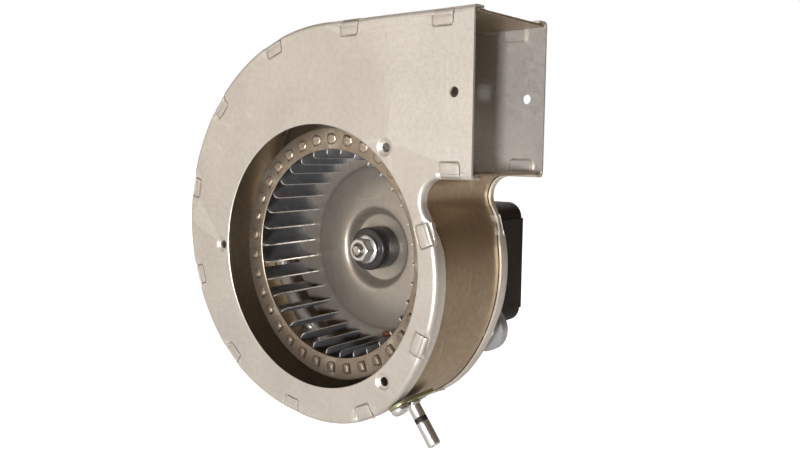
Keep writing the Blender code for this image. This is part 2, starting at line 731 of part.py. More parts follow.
def stator():
    """The laminated stack with the rotor's bore, and the coil round its lower leg."""
    bm = bmesh.new()
    add_prism(bm, stack_outline(), -STACK_REAR, -STACK_FRONT)
    stack = piece("stator_stack", finished_mesh("stator_stack", bm), "black_lacquer", FAN)
    cuts = bmesh.new()
    add_post(cuts, (0.0, 0.0), STACK_BORE, -STACK_REAR - SHEET, -STACK_FRONT + SHEET, segments=40)
    window_low, window_high = COIL_WINDOW
    stack_middle = -(STACK_FRONT + STACK_REAR) / 2
    depth = STACK_REAR - STACK_FRONT
    window = (2 * COIL_WINDOW_HALF_WIDTH, window_high - window_low, depth + 2 * SHEET)
    add_block(cuts, window, Matrix.Translation((0.0, (window_low + window_high) / 2, stack_middle)))
    for side in (-1, 1):
        add_post(cuts, (side * MOTOR_SCREW_X, 0.0), SCREW_BORE, -STACK_REAR - SHEET, -STACK_FRONT + SHEET, 14)
    boolean(stack, cutter("stack_cuts", finished_mesh("stack_cuts", cuts), FAN))

    leg_middle = (STACK_BOTTOM + window_low) / 2
    leg = (window_low - STACK_BOTTOM, depth)
    inner = [side + 2 * CLEARANCE for side in leg]
    tube = [side + 2 * BOBBIN_WALL for side in inner]
    flange = [side + 2 * (WINDING_BUILD + CLEARANCE) for side in tube]
    width = 2 * (COIL_WINDOW_HALF_WIDTH - 2 * CLEARANCE)
    place = Matrix.Translation((0.0, leg_middle, stack_middle))
    bobbin_mesh = bmesh.new()
    add_block(bobbin_mesh, (width, *tube), place)
    bobbin = piece("coil_bobbin", finished_mesh("coil_bobbin", bobbin_mesh), "nylon", FAN)
    cheeks = bmesh.new()
    for side in (-1, 1):
        shift = Matrix.Translation((side * (width - BOBBIN_CHEEK) / 2, 0.0, 0.0))
        add_block(cheeks, (BOBBIN_CHEEK, *flange), place @ shift)
    boolean(bobbin, cutter("bobbin_cheeks", finished_mesh("bobbin_cheeks", cheeks), FAN), "UNION")
    core = bmesh.new()
    add_block(core, (width + 2 * SHEET, *inner), place)
    boolean(bobbin, cutter("bobbin_core", finished_mesh("bobbin_core", core), FAN))

    winding_mesh = bmesh.new()
    winding_width = width - 2 * (BOBBIN_CHEEK + CLEARANCE)
    add_block(winding_mesh, (winding_width, *[side + 2 * WINDING_BUILD for side in tube]), place)
    winding = piece("coil_winding", finished_mesh("coil_winding", winding_mesh), "enamelled_copper", FAN)
    hole = bmesh.new()
    add_block(hole, (width + 2 * SHEET, *[side + 2 * CLEARANCE for side in tube]), place)
    boolean(winding, cutter("winding_hole", finished_mesh("winding_hole", hole), FAN))


def spider():
    """The die-cast bracket: a bearing hub, three arms with round lobes and three legs down to the casing."""
    bm = bmesh.new()
    add_post(bm, (0.0, 0.0), SPIDER_HUB_RADIUS, -SPIDER_REAR, -SPIDER_FRONT, segments=32)
    bracket = piece("motor_spider", finished_mesh("motor_spider", bm), "cast_alloy", FAN)
    stand = CASING_DEPTH + CLEARANCE
    for index, angle in enumerate(SPIDER_LEG_ANGLES):
        centre = polar(SPIDER_LEG_PITCH_RADIUS, angle)
        across = polar(1.0, angle + 90.0)
        inner_half, outer_half = SPIDER_ARM_HALF_WIDTHS
        arm = [
            centre + across * outer_half,
            across * inner_half,
            across * -inner_half,
            centre - across * outer_half,
        ]
        arms = bmesh.new()
        add_prism(arms, arm, -SPIDER_REAR + SPIDER_ARM_INSET, -SPIDER_FRONT - SPIDER_ARM_INSET)
        boolean(bracket, cutter(f"arm_{index}", finished_mesh(f"arm_{index}", arms), FAN), "UNION")
        lobe = bmesh.new()
        add_post(lobe, centre, SPIDER_LOBE_RADIUS, -SPIDER_REAR, -SPIDER_FRONT, segments=28)
        boolean(bracket, cutter(f"lobe_{index}", finished_mesh(f"lobe_{index}", lobe), FAN), "UNION")
        leg = bmesh.new()
        add_post(leg, centre, SPIDER_LEG_RADIUS, -SPIDER_FRONT - SHEET, -stand, segments=20)
        boolean(bracket, cutter(f"leg_{index}", finished_mesh(f"leg_{index}", leg), FAN), "UNION")
    bosses = bmesh.new()
    for side in (-1, 1):
        foot = (side * MOTOR_SCREW_X, 0.0)
        add_post(bosses, foot, SPIDER_BOSS_RADIUS, -STACK_FRONT + CLEARANCE, -SPIDER_FRONT - SPIDER_ARM_INSET / 2, 20)
    boolean(bracket, cutter("spider_bosses", finished_mesh("spider_bosses", bosses), FAN), "UNION")
    bridge = bmesh.new()
    middle = Matrix.Translation((0.0, 0.0, -(SPIDER_FRONT + SPIDER_REAR) / 2))
    add_block(bridge, (2 * MOTOR_SCREW_X, *SPIDER_BRIDGE), middle)
    boolean(bracket, cutter("spider_bridge", finished_mesh("spider_bridge", bridge), FAN), "UNION")
    cuts = bmesh.new()
    add_post(cuts, (0.0, 0.0), BEARING_RADIUS + CLEARANCE, -STACK_FRONT, -SPIDER_FRONT + SHEET, segments=24)
    for angle in SPIDER_LEG_ANGLES:
        centre = polar(SPIDER_LEG_PITCH_RADIUS, angle)
        add_post(cuts, centre, SCREW_BORE, -SPIDER_REAR - SHEET, -CASING_DEPTH + SHEET, segments=14)
    for side in (-1, 1):
        foot = (side * MOTOR_SCREW_X, 0.0)
        add_post(cuts, foot, SCREW_BORE, -STACK_FRONT - SHEET, -SPIDER_FRONT + SHEET, segments=14)
    boolean(bracket, cutter("spider_cuts", finished_mesh("spider_cuts", cuts), FAN))


def rear_bracket():
    """The bar across the back of the stack that holds the rear bearing."""
    front = STACK_REAR + CLEARANCE
    rear = front + REAR_BAR[2]
    bm = bmesh.new()
    add_block(bm, REAR_BAR, Matrix.Translation((0.0, 0.0, -(front + rear) / 2)))
    bar = piece("rear_bracket", finished_mesh("rear_bracket", bm), "cast_alloy", FAN)
    housing = bmesh.new()
    add_post(housing, (0.0, 0.0), REAR_HOUSING_RADIUS, -(rear + REAR_HOUSING_PROUD), -front, segments=32)
    boolean(bar, cutter("rear_housing", finished_mesh("rear_housing", housing), FAN), "UNION")
    cuts = bmesh.new()
    housing_end = -(rear + REAR_HOUSING_PROUD + SHEET)
    add_post(cuts, (0.0, 0.0), BEARING_RADIUS + CLEARANCE, housing_end, -front + SHEET, segments=24)
    for side in (-1, 1):
        add_post(cuts, (side * MOTOR_SCREW_X, 0.0), SCREW_BORE, -rear - SHEET, -front + SHEET, segments=14)
    boolean(bar, cutter("rear_cuts", finished_mesh("rear_cuts", cuts), FAN))
    return rear


def bearings(rear_of_bar):
    spans = {
        "front_bearing": (SPIDER_FRONT + CLEARANCE, SPIDER_REAR + 3.0 * MM),
        "rear_bearing": (STACK_REAR + 2 * CLEARANCE, rear_of_bar + 4.0 * MM),
    }
    for name, (front, rear) in spans.items():
        sleeve = tube_profile(BEARING_RADIUS, SHAFT_BORE, -front, -rear)
        turned(name, sleeve, "sintered_bronze", FAN, hollow=True, steps=24)


def pan_screw(name, centre, head_z, tip_z):
    """A screw whose head is towards the rear, at head_z, and whose tip is at tip_z."""
    screw = turned(
        name,
        [
            (0.0, tip_z),
            (SCREW_RADIUS, tip_z),
            (SCREW_RADIUS, head_z),
            (SCREW_HEAD_RADIUS, head_z),
            (SCREW_HEAD_RADIUS, head_z - SCREW_HEAD_HEIGHT * 0.6),
            (SCREW_HEAD_RADIUS * 0.6, head_z - SCREW_HEAD_HEIGHT),
            (0.0, head_z - SCREW_HEAD_HEIGHT),
        ],
        "bright_zinc",
        FAN,
        hollow=False,
        steps=16,
    )
    screw.location = (centre[0], centre[1], 0.0)


def motor_screws(rear_of_bar):
    for index, angle in enumerate(SPIDER_LEG_ANGLES, start=1):
        centre = polar(SPIDER_LEG_PITCH_RADIUS, angle)
        pan_screw(f"spider_screw_{index}", centre, -SPIDER_REAR - CLEARANCE, -(CASING_DEPTH - 2 * SHEET))
    for index, side in enumerate((-1, 1), start=1):
        tip = -(SPIDER_FRONT + 0.5 * MM)
        pan_screw(f"motor_screw_{index}", (side * MOTOR_SCREW_X, 0.0), -rear_of_bar - CLEARANCE, tip)


clear_scene()
PIECES = new_collection("combustion_fan")
CUTTERS = new_collection("combustion_fan_cutters", hidden=True)
FAN = new_empty("fan_frame")
FAN.rotation_euler.x = math.radians(90.0)
ROTOR = new_empty("rotor_axis", FAN)

casing_plate("front_plate", front=True)
casing_plate("back_plate", front=False)
scroll_wrapper()
tapping()
blower_wheel()
motor_rotor()
stator()
spider()
REAR_OF_BAR = rear_bracket()
bearings(REAR_OF_BAR)
motor_screws(REAR_OF_BAR)
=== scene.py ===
"""Looks of a boiler's combustion fan: the sheet-metal, rubber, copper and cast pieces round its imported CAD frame.

World axes: X to the right, Y along the shaft away from the inlet, Z upwards. Sizes below are millimetres, and
a Draft turns them into metres when it makes a mesh. A point of the casing's plane is (across, up), and its
depth is its distance behind the inlet face.
"""

import json
import logging
import math
from dataclasses import dataclass, field
from enum import Enum
from typing import Callable, Iterable, Sequence

import bmesh
import bpy
import numpy as np
from mathutils import Matrix, Vector
from mathutils.geometry import delaunay_2d_cdt

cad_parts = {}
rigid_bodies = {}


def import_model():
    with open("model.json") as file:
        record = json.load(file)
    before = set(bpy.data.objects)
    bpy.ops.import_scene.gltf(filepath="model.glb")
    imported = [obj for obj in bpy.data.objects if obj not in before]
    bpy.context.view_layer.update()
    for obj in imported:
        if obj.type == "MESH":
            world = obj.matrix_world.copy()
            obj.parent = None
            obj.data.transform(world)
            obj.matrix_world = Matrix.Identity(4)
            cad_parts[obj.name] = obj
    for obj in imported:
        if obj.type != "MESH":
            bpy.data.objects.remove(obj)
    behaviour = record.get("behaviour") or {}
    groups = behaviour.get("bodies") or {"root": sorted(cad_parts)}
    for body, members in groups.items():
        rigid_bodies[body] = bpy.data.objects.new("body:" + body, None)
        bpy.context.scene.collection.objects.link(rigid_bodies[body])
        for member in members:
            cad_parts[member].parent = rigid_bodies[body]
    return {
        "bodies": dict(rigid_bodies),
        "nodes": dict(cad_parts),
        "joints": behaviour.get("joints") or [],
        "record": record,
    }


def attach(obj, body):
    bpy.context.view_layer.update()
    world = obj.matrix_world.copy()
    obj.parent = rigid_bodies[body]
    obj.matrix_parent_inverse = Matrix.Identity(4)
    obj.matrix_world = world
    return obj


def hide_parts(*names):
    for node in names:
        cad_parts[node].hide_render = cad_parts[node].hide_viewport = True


LOG = logging.getLogger("combustion_fan")
MM = 0.001
CASING = "casing"
ROTOR = "rotor"
ALONG_SHAFT = Matrix.Rotation(math.radians(-90.0), 4, "X")
BEHIND = Vector((0.0, 1.0, 0.0))
LEG_PITCH = 57.0
LEG_ANGLES = (-41.5, 78.5, 198.5)
SHARP_ANGLE = math.radians(34.0)

# Points nearer than this become one: in a draft and between guide lines in millimetres, in a CAD node in metres
WELD = 1e-4
GUIDE_WELD = 0.004
NODE_WELD = 2e-5

Solid, Material = bpy.types.Object, bpy.types.Material
Node, NodeTree, Socket = bpy.types.Node, bpy.types.NodeTree, bpy.types.NodeSocket
Colour = tuple[float, float, float]
Path = list[Vector]
FRAME_NODES: dict[str, Solid] = {}


# --- Points, paths and meshes


def spot(point: Sequence[float], depth: float) -> Vector:
    """World place of a point of the casing's plane at a depth."""
    return Vector((point[0], depth, point[1]))


def polar(radius: float, angle_deg: float) -> Vector:
    """Point of the casing's plane at a radius and an angle from the shaft."""
    angle = math.radians(angle_deg)
    return Vector((radius * math.cos(angle), radius * math.sin(angle)))


def circle(centre: Sequence[float], radius: float, steps: int) -> Path:
    """A round loop in the casing's plane."""
    return [Vector(centre) + polar(radius, 360.0 * k / steps) for k in range(steps)]


def hermite(start: float, end: float, leave: float, arrive: float, share: float) -> float:
    """Cubic between two values, or two vectors, with a slope at each end."""
    square, cube = share**2, share**3
    return (
        start * (2 * cube - 3 * square + 1)
        + leave * (cube - 2 * square + share)
        + end * (3 * square - 2 * cube)
        + arrive * (cube - square)
    )


def smooth_step(share: np.ndarray) -> np.ndarray:
    """Ease from 0 to 1, flat at both ends."""
    clipped = np.clip(share, 0.0, 1.0)
    return clipped**2 * (3 - 2 * clipped)


def through(points: Sequence[tuple[float, float]], steps: int) -> list[tuple[float, float]]:
    """A smooth curve through points.

    Args:
        points: the points that the curve passes, in order.
        steps: pieces between each two of them.

    Returns:
        The curve as a denser list of points.
    """
    last = len(points) - 1
    knots = [Vector(p) for p in points]
    slopes = [(knots[min(i + 1, last)] - knots[max(i - 1, 0)]) / 2 for i in range(last + 1)]
    curve = [
        hermite(knots[i], knots[i + 1], slopes[i], slopes[i + 1], k / steps)
        for i in range(last)
        for k in range(steps)
    ]
    return [tuple(p) for p in (*curve, knots[-1])]


class Draft:
    """Points in millimetres and faces, which become one mesh."""

    def __init__(self) -> None:
        """Start with nothing."""
        self.bm = bmesh.new()

    def row(self, points: Iterable[Vector]) -> list[bmesh.types.BMVert]:
        """Points in a row."""
        return [self.bm.verts.new(p) for p in points]

    def skin(self, rows: Sequence[list], ringed: bool = False) -> None:
        """Faces between neighbouring rows.

        Args:
            rows: rows of points, each of the same number, or of one point where the skin closes to a tip.
            ringed: whether each row closes on itself.
        """
        for upper, lower in zip(rows, rows[1:]):
            count = max(len(upper), len(lower))
            for i in range(count if ringed else count - 1):
                j = (i + 1) % count
                corners = ((upper, i), (upper, j), (lower, j), (lower, i))
                distinct = list(dict.fromkeys(row[k % len(row)] for row, k in corners))
                if len(distinct) > 2:
                    self.bm.faces.new(distinct)

    def cap(self, row: list) -> None:
        """One face over a ring of points."""
        self.bm.faces.new(row)

    def prism(self, outline: Sequence[Vector], frame: Matrix, low: float, high: float) -> None:
        """A closed outline in the frame's XY plane, given height."""
        rows = [self.row(frame @ Vector((p[0], p[1], height)) for p in outline) for height in (low, high)]
        self.skin(rows, ringed=True)
        self.cap(rows[0][::-1])
        self.cap(rows[1])

    def make(self, name: str, closed: bool = True) -> Solid:
        """Weld the points, turn the faces outwards and make the object, in metres.

        Args:
            name: the object's name.
            closed: whether the faces enclose a solid, so that outwards is known.

        Returns:
            The new object at the origin.
        """
        bmesh.ops.remove_doubles(self.bm, verts=self.bm.verts, dist=WELD)
        if closed:
            bmesh.ops.recalc_face_normals(self.bm, faces=self.bm.faces)
        bmesh.ops.scale(self.bm, vec=(MM, MM, MM), verts=self.bm.verts)
        mesh = bpy.data.meshes.new(name)
        self.bm.to_mesh(mesh)
        self.bm.free()
        made = bpy.data.objects.new(name, mesh)
        bpy.context.scene.collection.objects.link(made)
        smooth(made)
        return made


def turned(
    name: str,
    profile: Sequence[tuple[float, float]],
    frame: Matrix = ALONG_SHAFT,
    steps: int = 48,
    hollow: bool = True,
) -> Solid:
    """A piece turned about the frame's Z axis.

    Args:
        name: the piece's name.
        profile: (radius, height) pairs.
        frame: where the axis is.
        steps: faces round the axis.
        hollow: whether the profile's end joins its start, as in a tube's wall.

    Returns:
        The piece.
    """
    draft, rows = Draft(), []
    for radius, height in profile:
        ring = [polar(radius, 360.0 * k / steps) for k in range(steps)] if radius else [Vector((0.0, 0.0))]
        rows.append(draft.row(frame @ Vector((p.x, p.y, height)) for p in ring))
    draft.skin(rows + rows[:1] if hollow else rows, ringed=True)
    return draft.make(name)


def smooth(piece: Solid) -> None:
    """Shade a piece smooth, but for its sharp edges."""
    piece.data.shade_smooth()
    piece.data.set_sharp_from_angle(angle=SHARP_ANGLE)


def settle(piece: Solid) -> None:
    """Turn a piece and its modifiers into a plain mesh."""
    graph = bpy.context.evaluated_depsgraph_get()
    final = piece.evaluated_get(graph)
    mesh = bpy.data.meshes.new_from_object(final, preserve_all_data_layers=True, depsgraph=graph)
    piece.modifiers.clear()
    old, piece.data = piece.data, mesh
    mesh.name = piece.name
    bpy.data.meshes.remove(old)
    smooth(piece)


def thicken(piece: Solid, thickness: float, offset: float = -1.0, edge_slot: int = 0) -> None:
    """Give a sheet its thickness, in millimetres, on the side away from its normals."""
    wall = piece.modifiers.new("wall", "SOLIDIFY")
    wall.thickness = thickness * MM
    wall.offset = offset
    wall.material_offset_rim = edge_slot
    settle(piece)


def round_edges(piece: Solid, width: float, segments: int = 2, angle_deg: float = 38.0) -> None:
    """Round a piece's sharp edges, with a width in millimetres."""
    rounding = piece.modifiers.new("rounding", "BEVEL")
    rounding.width = width * MM
    rounding.segments = segments
    rounding.limit_method = "ANGLE"
    rounding.angle_limit = math.radians(angle_deg)
    settle(piece)


def carve(piece: Solid, draft: Draft) -> None:
    """Cut a drafted solid out of a piece."""
    tool = draft.make(piece.name + "_tool")
    cut = piece.modifiers.new("cut", "BOOLEAN")
    cut.operation = "DIFFERENCE"
    cut.object = tool
    settle(piece)
    bpy.data.objects.remove(tool)


def rounded_copy(node: str, name: str, width: float, segments: int = 2) -> Solid:
    """A copy of a CAD node with its loose triangles merged and its edges rounded.

    Args:
        node: the CAD node.
        name: the copy's name.
        width: the rounding in millimetres.
        segments: steps across the rounding.

    Returns:
        The copy.
    """
    bm = bmesh.new()
    bm.from_mesh(FRAME_NODES[node].data)
    bmesh.ops.remove_doubles(bm, verts=bm.verts, dist=NODE_WELD)
    bmesh.ops.dissolve_limit(bm, angle_limit=math.radians(1.0), verts=bm.verts, edges=bm.edges)
    mesh = bpy.data.meshes.new(name)
    bm.to_mesh(mesh)
    bm.free()
    copy = bpy.data.objects.new(name, mesh)
    bpy.context.scene.collection.objects.link(copy)
    round_edges(copy, width, segments)
    return copy


def inside(points: np.ndarray, loop: Path) -> np.ndarray:
    """Which of the points lie inside a closed loop."""
    x, y = points[:, 0], points[:, 1]
    found = np.zeros(len(points), bool)
    for a, b in zip(loop, loop[1:] + loop[:1]):
        crosses = (a.y > y) != (b.y > y)
        with np.errstate(divide="ignore", invalid="ignore"):
            found ^= crosses & (x < (b.x - a.x) * (y - a.y) / (b.y - a.y) + a.x)
    return found


@dataclass
class PressedSheet:
    """A sheet with holes and pressed shapes, laid out flat between guide lines and then given its depths.

    Attributes:
        edge: the sheet's closed outline.
        holes: closed loops cut out of it.
        guides: lines that the faces follow, each with whether it is closed.
        depth: depth of many points at once, from their places in the plane.
    """

    edge: Path
    depth: Callable[[np.ndarray], np.ndarray]
    holes: list[Path] = field(default_factory=list)
    guides: list[tuple[Path, bool]] = field(default_factory=list)

    def lay(self, draft: Draft, towards_front: bool = True) -> dict[int, bmesh.types.BMVert]:
        """Add the sheet's faces to a draft.

        Args:
            draft: what the sheet is added to.
            towards_front: whether its outer side is the inlet's side.

        Returns:
            For each point of the outline, its number and the draft's point.
        """
        places: list[Vector] = []
        edges: list[tuple[int, int]] = []
        for line, closed in [(self.edge, True)] + [(h, True) for h in self.holes] + self.guides:
            first = len(places)
            places += [Vector((p[0], p[1])) for p in line]
            count = len(line)
            edges += [(first + i, first + (i + 1) % count) for i in range(count if closed else count - 1)]
        flat, _, faces, sources, _, _ = delaunay_2d_cdt(places, edges, [], 0, GUIDE_WELD)
        spread = np.array([tuple(p) for p in flat])
        centres = np.array([spread[list(f)].mean(axis=0) for f in faces])
        kept = inside(centres, self.edge)
        for hole in self.holes:
            kept &= ~inside(centres, hole)
        depths = self.depth(spread)
        verts = [draft.bm.verts.new(spot(p, d)) for p, d in zip(spread, depths)]
        for keep, face in zip(kept, faces):
            if keep:
                corners = [verts[i] for i in face]
                draft.bm.faces.new(corners if towards_front else corners[::-1])
        on_edge = {}
        for vert, origins in zip(verts, sources):
            for origin in origins:
                if origin < len(self.edge):
                    on_edge[origin] = vert
            if not vert.link_faces:
                draft.bm.verts.remove(vert)
        return on_edge


# --- Geometry Nodes


class GrowthTree:
    """A Geometry Nodes tree with named inputs, which ends in Realize Instances and Set Material."""

    def __init__(self, name: str) -> None:
        """Start the tree with its output."""
        self.tree = bpy.data.node_groups.new(name, "GeometryNodeTree")
        self.tree.interface.new_socket("Geometry", in_out="OUTPUT", socket_type="NodeSocketGeometry")
        self.entry = self.tree.nodes.new("NodeGroupInput")

    def input(self, name: str, kind: str) -> Socket:
        """Add a named input, such as a Float or an Object, and return its socket."""
        self.tree.interface.new_socket(name, in_out="INPUT", socket_type="NodeSocket" + kind)
        return self.entry.outputs[name]

    def node(self, kind: str, settings: dict | None = None, **links: object) -> Node:
        """Add a node.

        Args:
            kind: the node's type.
            settings: its properties.
            **links: for each input, named with underscores for spaces, a socket or a plain value.

        Returns:
            The node.
        """
        made = self.tree.nodes.new(kind)
        for key, value in (settings or {}).items():
            setattr(made, key, value)
        for key, value in links.items():
            socket = made.inputs[int(key[1:]) if key[1:].isdigit() else key.replace("_", " ")]
            if isinstance(value, Socket):
                self.tree.links.new(value, socket)
            else:
                socket.default_value = value
        return made

    def math(self, operation: str, first: object, second: object) -> Socket:
        """The result of a sum on two values or sockets."""
        return self.node("ShaderNodeMath", {"operation": operation}, _0=first, _1=second).outputs[0]

    def close(self, instances: Socket) -> "GrowthTree":
        """End the tree: real geometry, with its material, and a second one on its cut edges."""
        solid = self.node("GeometryNodeRealizeInstances", Geometry=instances)
        finish = self.input("Material", "Material")
        dressed = self.node("GeometryNodeSetMaterial", Geometry=solid.outputs[0], Material=finish)
        edges = self.node("GeometryNodeInputNamedAttribute", {"data_type": "BOOLEAN"}, Name="cut_edge")
        edged = self.node(
            "GeometryNodeSetMaterial",
            Geometry=dressed.outputs[0],
            Selection=edges.outputs["Attribute"],
            Material=self.input("Edge Material", "Material"),
        )
        outlet = self.tree.nodes.new("NodeGroupOutput")
        self.tree.links.new(edged.outputs[0], outlet.inputs[0])
        return self

    def grow(self, name: str, start: Solid | None = None, **values: object) -> Solid:
        """Run the tree and keep its result as a plain mesh.

        Args:
            name: the new piece's name.
            start: an object whose mesh the tree starts from, which becomes the piece.
            **values: the tree's inputs, named with underscores for spaces. An object among them is deleted.

        Returns:
            The piece.
        """
        host = start or bpy.data.objects.new(name, bpy.data.meshes.new(name))
        host.name = name
        if not start:
            bpy.context.scene.collection.objects.link(host)
        modifier = host.modifiers.new("growth", "NODES")
        modifier.node_group = self.tree
        values.setdefault("Edge_Material", values["Material"])
        for item in self.tree.interface.items_tree:
            key = item.name.replace(" ", "_")
            if item.in_out == "INPUT" and key in values:
                modifier[item.identifier] = values[key]
        settle(host)
        for value in values.values():
            if isinstance(value, Solid):
                bpy.data.objects.remove(value)
        return host

    def grow_at(
        self,
        name: str,
        template: Solid,
        seats: Sequence[tuple[Vector, Sequence[float]]],
        material: Material,
    ) -> Solid:
        """Copy a template to its seats, with the tree of pieces at places.

        Args:
            name: the new piece's name.
            template: what is copied. It is deleted.
            seats: the place of each copy, and its turn as Euler angles.
            material: of the copies.

        Returns:
            All the copies as one piece.
        """
        draft = Draft()
        draft.row(place for place, _ in seats)
        points = draft.make(name)
        facing = points.data.attributes.new("facing", "FLOAT_VECTOR", "POINT")
        facing.data.foreach_set("vector", [angle for _, turn in seats for angle in turn])
        return self.grow(name, points, Piece=template, Material=material)


def ring_tree() -> GrowthTree:
    """Copies of a piece, evenly turned about the shaft."""
    tree = GrowthTree("ring_of_pieces")
    piece, count = tree.input("Piece", "Object"), tree.input("Count", "Int")
    start = tree.input("Start Angle", "Float")
    line = tree.node("GeometryNodeMeshLine", Count=count, Offset=(0.0, 0.0, 0.0))
    number = tree.node("GeometryNodeInputIndex").outputs[0]
    turn = tree.math("MULTIPLY", tree.math("DIVIDE", number, count), -math.tau)
    angle = tree.math("SUBTRACT", turn, start)
    spin = tree.node("ShaderNodeCombineXYZ", Y=angle)
    facing = tree.node("FunctionNodeEulerToRotation", Euler=spin.outputs[0])
    info = tree.node("GeometryNodeObjectInfo", Object=piece, As_Instance=True)
    copies = tree.node(
        "GeometryNodeInstanceOnPoints",
        Points=line.outputs[0],
        Instance=info.outputs["Geometry"],
        Rotation=facing.outputs[0],
    )
    return tree.close(copies.outputs[0])


def places_tree() -> GrowthTree:
    """Copies of a piece on the points of a mesh, each turned by the point's own facing."""
    tree = GrowthTree("pieces_at_places")
    places, piece = tree.input("Places", "Geometry"), tree.input("Piece", "Object")
    facing = tree.node("GeometryNodeInputNamedAttribute", {"data_type": "FLOAT_VECTOR"}, Name="facing")
    turn = tree.node("FunctionNodeEulerToRotation", Euler=facing.outputs["Attribute"])
    info = tree.node("GeometryNodeObjectInfo", Object=piece, As_Instance=True)
    copies = tree.node(
        "GeometryNodeInstanceOnPoints", Points=places, Instance=info.outputs["Geometry"], Rotation=turn.outputs[0]
    )
    return tree.close(copies.outputs[0])


def stack_tree() -> GrowthTree:
    """Copies of a sheet, one behind the other along the shaft."""
    tree = GrowthTree("stack_of_sheets")
    sheet, count, pitch = tree.input("Sheet", "Object"), tree.input("Count", "Int"), tree.input("Pitch", "Float")
    step = tree.node("ShaderNodeCombineXYZ", Y=pitch)
    line = tree.node("GeometryNodeMeshLine", Count=count, Offset=step.outputs[0])
    info = tree.node("GeometryNodeObjectInfo", Object=sheet, As_Instance=True)
    copies = tree.node("GeometryNodeInstanceOnPoints", Points=line.outputs[0], Instance=info.outputs["Geometry"])
    return tree.close(copies.outputs[0])


def coil_tree() -> GrowthTree:
    """Turns of wire round a leg that runs along X: each turn is a rectangle with round corners."""
    tree = GrowthTree("coil_of_turns")
    height, depth = tree.input("Height", "Float"), tree.input("Depth", "Float")
    corner, wire = tree.input("Corner", "Float"), tree.input("Wire Radius", "Float")
    turns, pitch = tree.input("Turns", "Int"), tree.input("Pitch", "Float")
    middle = tree.input("Middle", "Vector")
    frame = tree.node("GeometryNodeCurvePrimitiveQuadrilateral", Width=height, Height=depth)
    bent = tree.node(
        "GeometryNodeFilletCurve", {"mode": "POLY"}, Curve=frame.outputs[0], Count=5, Radius=corner
    )
    section = tree.node("GeometryNodeCurvePrimitiveCircle", Resolution=6, Radius=wire)
    turn = tree.node("GeometryNodeCurveToMesh", Curve=bent.outputs[0], Profile_Curve=section.outputs[0])
    upright = tree.node(
        "GeometryNodeTransform", Geometry=turn.outputs[0], Rotation=(0.0, math.radians(90.0), 0.0)
    )
    half = tree.math("MULTIPLY", tree.math("SUBTRACT", turns, 1.0), tree.math("MULTIPLY", pitch, -0.5))
    first = tree.node("ShaderNodeVectorMath", {"operation": "ADD"}, _0=middle)
    tree.tree.links.new(tree.node("ShaderNodeCombineXYZ", X=half).outputs[0], first.inputs[1])
    step = tree.node("ShaderNodeCombineXYZ", X=pitch)
    line = tree.node("GeometryNodeMeshLine", Count=turns, Start_Location=first.outputs[0], Offset=step.outputs[0])
    copies = tree.node("GeometryNodeInstanceOnPoints", Points=line.outputs[0], Instance=upright.outputs[0])
    return tree.close(copies.outputs[0])


# --- Finishes


class Pattern(Enum):
    """How a surface was made, which decides the direction of its finest marks."""

    ROLLED = "rolled"
    TURNED = "turned"
    EVEN = "even"


class Weave:
    """A short way to add and link nodes in a shader tree."""

    def __init__(self, tree: NodeTree) -> None:
        """Work on a tree."""
        self.tree = tree

    def put(self, socket: Socket, value: object) -> None:
        """Link or set an input socket."""
        if isinstance(value, Socket):
            self.tree.links.new(value, socket)
        else:
            socket.default_value = value

    def node(self, kind: str, settings: dict | None = None, **values: object) -> Node:
        """Add a node.

        Args:
            kind: the node's type, without its ShaderNode prefix.
            settings: its properties.
            **values: for each input, by its name with underscores or as _ and its number, a socket or a value.

        Returns:
            The node.
        """
        made = self.tree.nodes.new("ShaderNode" + kind)
        for key, value in (settings or {}).items():
            setattr(made, key, value)
        for key, value in values.items():
            self.put(made.inputs[int(key[1:]) if key[1:].isdigit() else key.replace("_", " ")], value)
        return made

    def sum(self, operation: str, *values: object, clamp: bool = False) -> Socket:
        """The result of one Math node."""
        node = self.node("Math", {"operation": operation, "use_clamp": clamp})
        for socket, value in zip(node.inputs, values):
            self.put(socket, value)
        return node.outputs[0]

    def ramp(self, value: object, low: float, high: float, to_low: float = 0.0, to_high: float = 1.0) -> Socket:
        """A value eased from one range to another."""
        settings = {"interpolation_type": "SMOOTHSTEP"}
        return self.node("MapRange", settings, _0=value, _1=low, _2=high, _3=to_low, _4=to_high).outputs[0]

    def mix(self, share: object, first: object, second: object) -> Socket:
        """Two colours mixed by a share."""
        node = self.node("Mix", {"data_type": "RGBA"}, _0=share)
        self.put(node.inputs[6], first if isinstance(first, Socket) else (*first, 1.0))
        self.put(node.inputs[7], second if isinstance(second, Socket) else (*second, 1.0))
        return node.outputs[2]


class Effect(Weave):
    """A shared effect: a shader node group that takes a place and named values, and puts out masks and values."""

    def __init__(self, name: str, outputs: Sequence[str], **inputs: float | tuple[float, float, float]) -> None:
        """Make the group's sockets.

        Args:
            name: the group's name.
            outputs: names of the values that it puts out.
            **inputs: its inputs and their default values.
        """
        group = bpy.data.node_groups.new(name, "ShaderNodeTree")
        group.interface.new_socket("Vector", in_out="INPUT", socket_type="NodeSocketVector")
        for label, value in inputs.items():
            kind = "NodeSocketVector" if isinstance(value, tuple) else "NodeSocketFloat"
            group.interface.new_socket(label, in_out="INPUT", socket_type=kind).default_value = value
        for label in outputs:
            group.interface.new_socket(label, in_out="OUTPUT", socket_type="NodeSocketFloat")
        super().__init__(group)
        self.given = group.nodes.new("NodeGroupInput").outputs
        self.out = group.nodes.new("NodeGroupOutput").inputs

    def noise(self, place: object, scale: object = 1.0, **values: float) -> Socket:
        """A noise at a place, with a number of lumps in a metre."""
        return self.node("TexNoise", Vector=place, Scale=scale, **values).outputs[0]


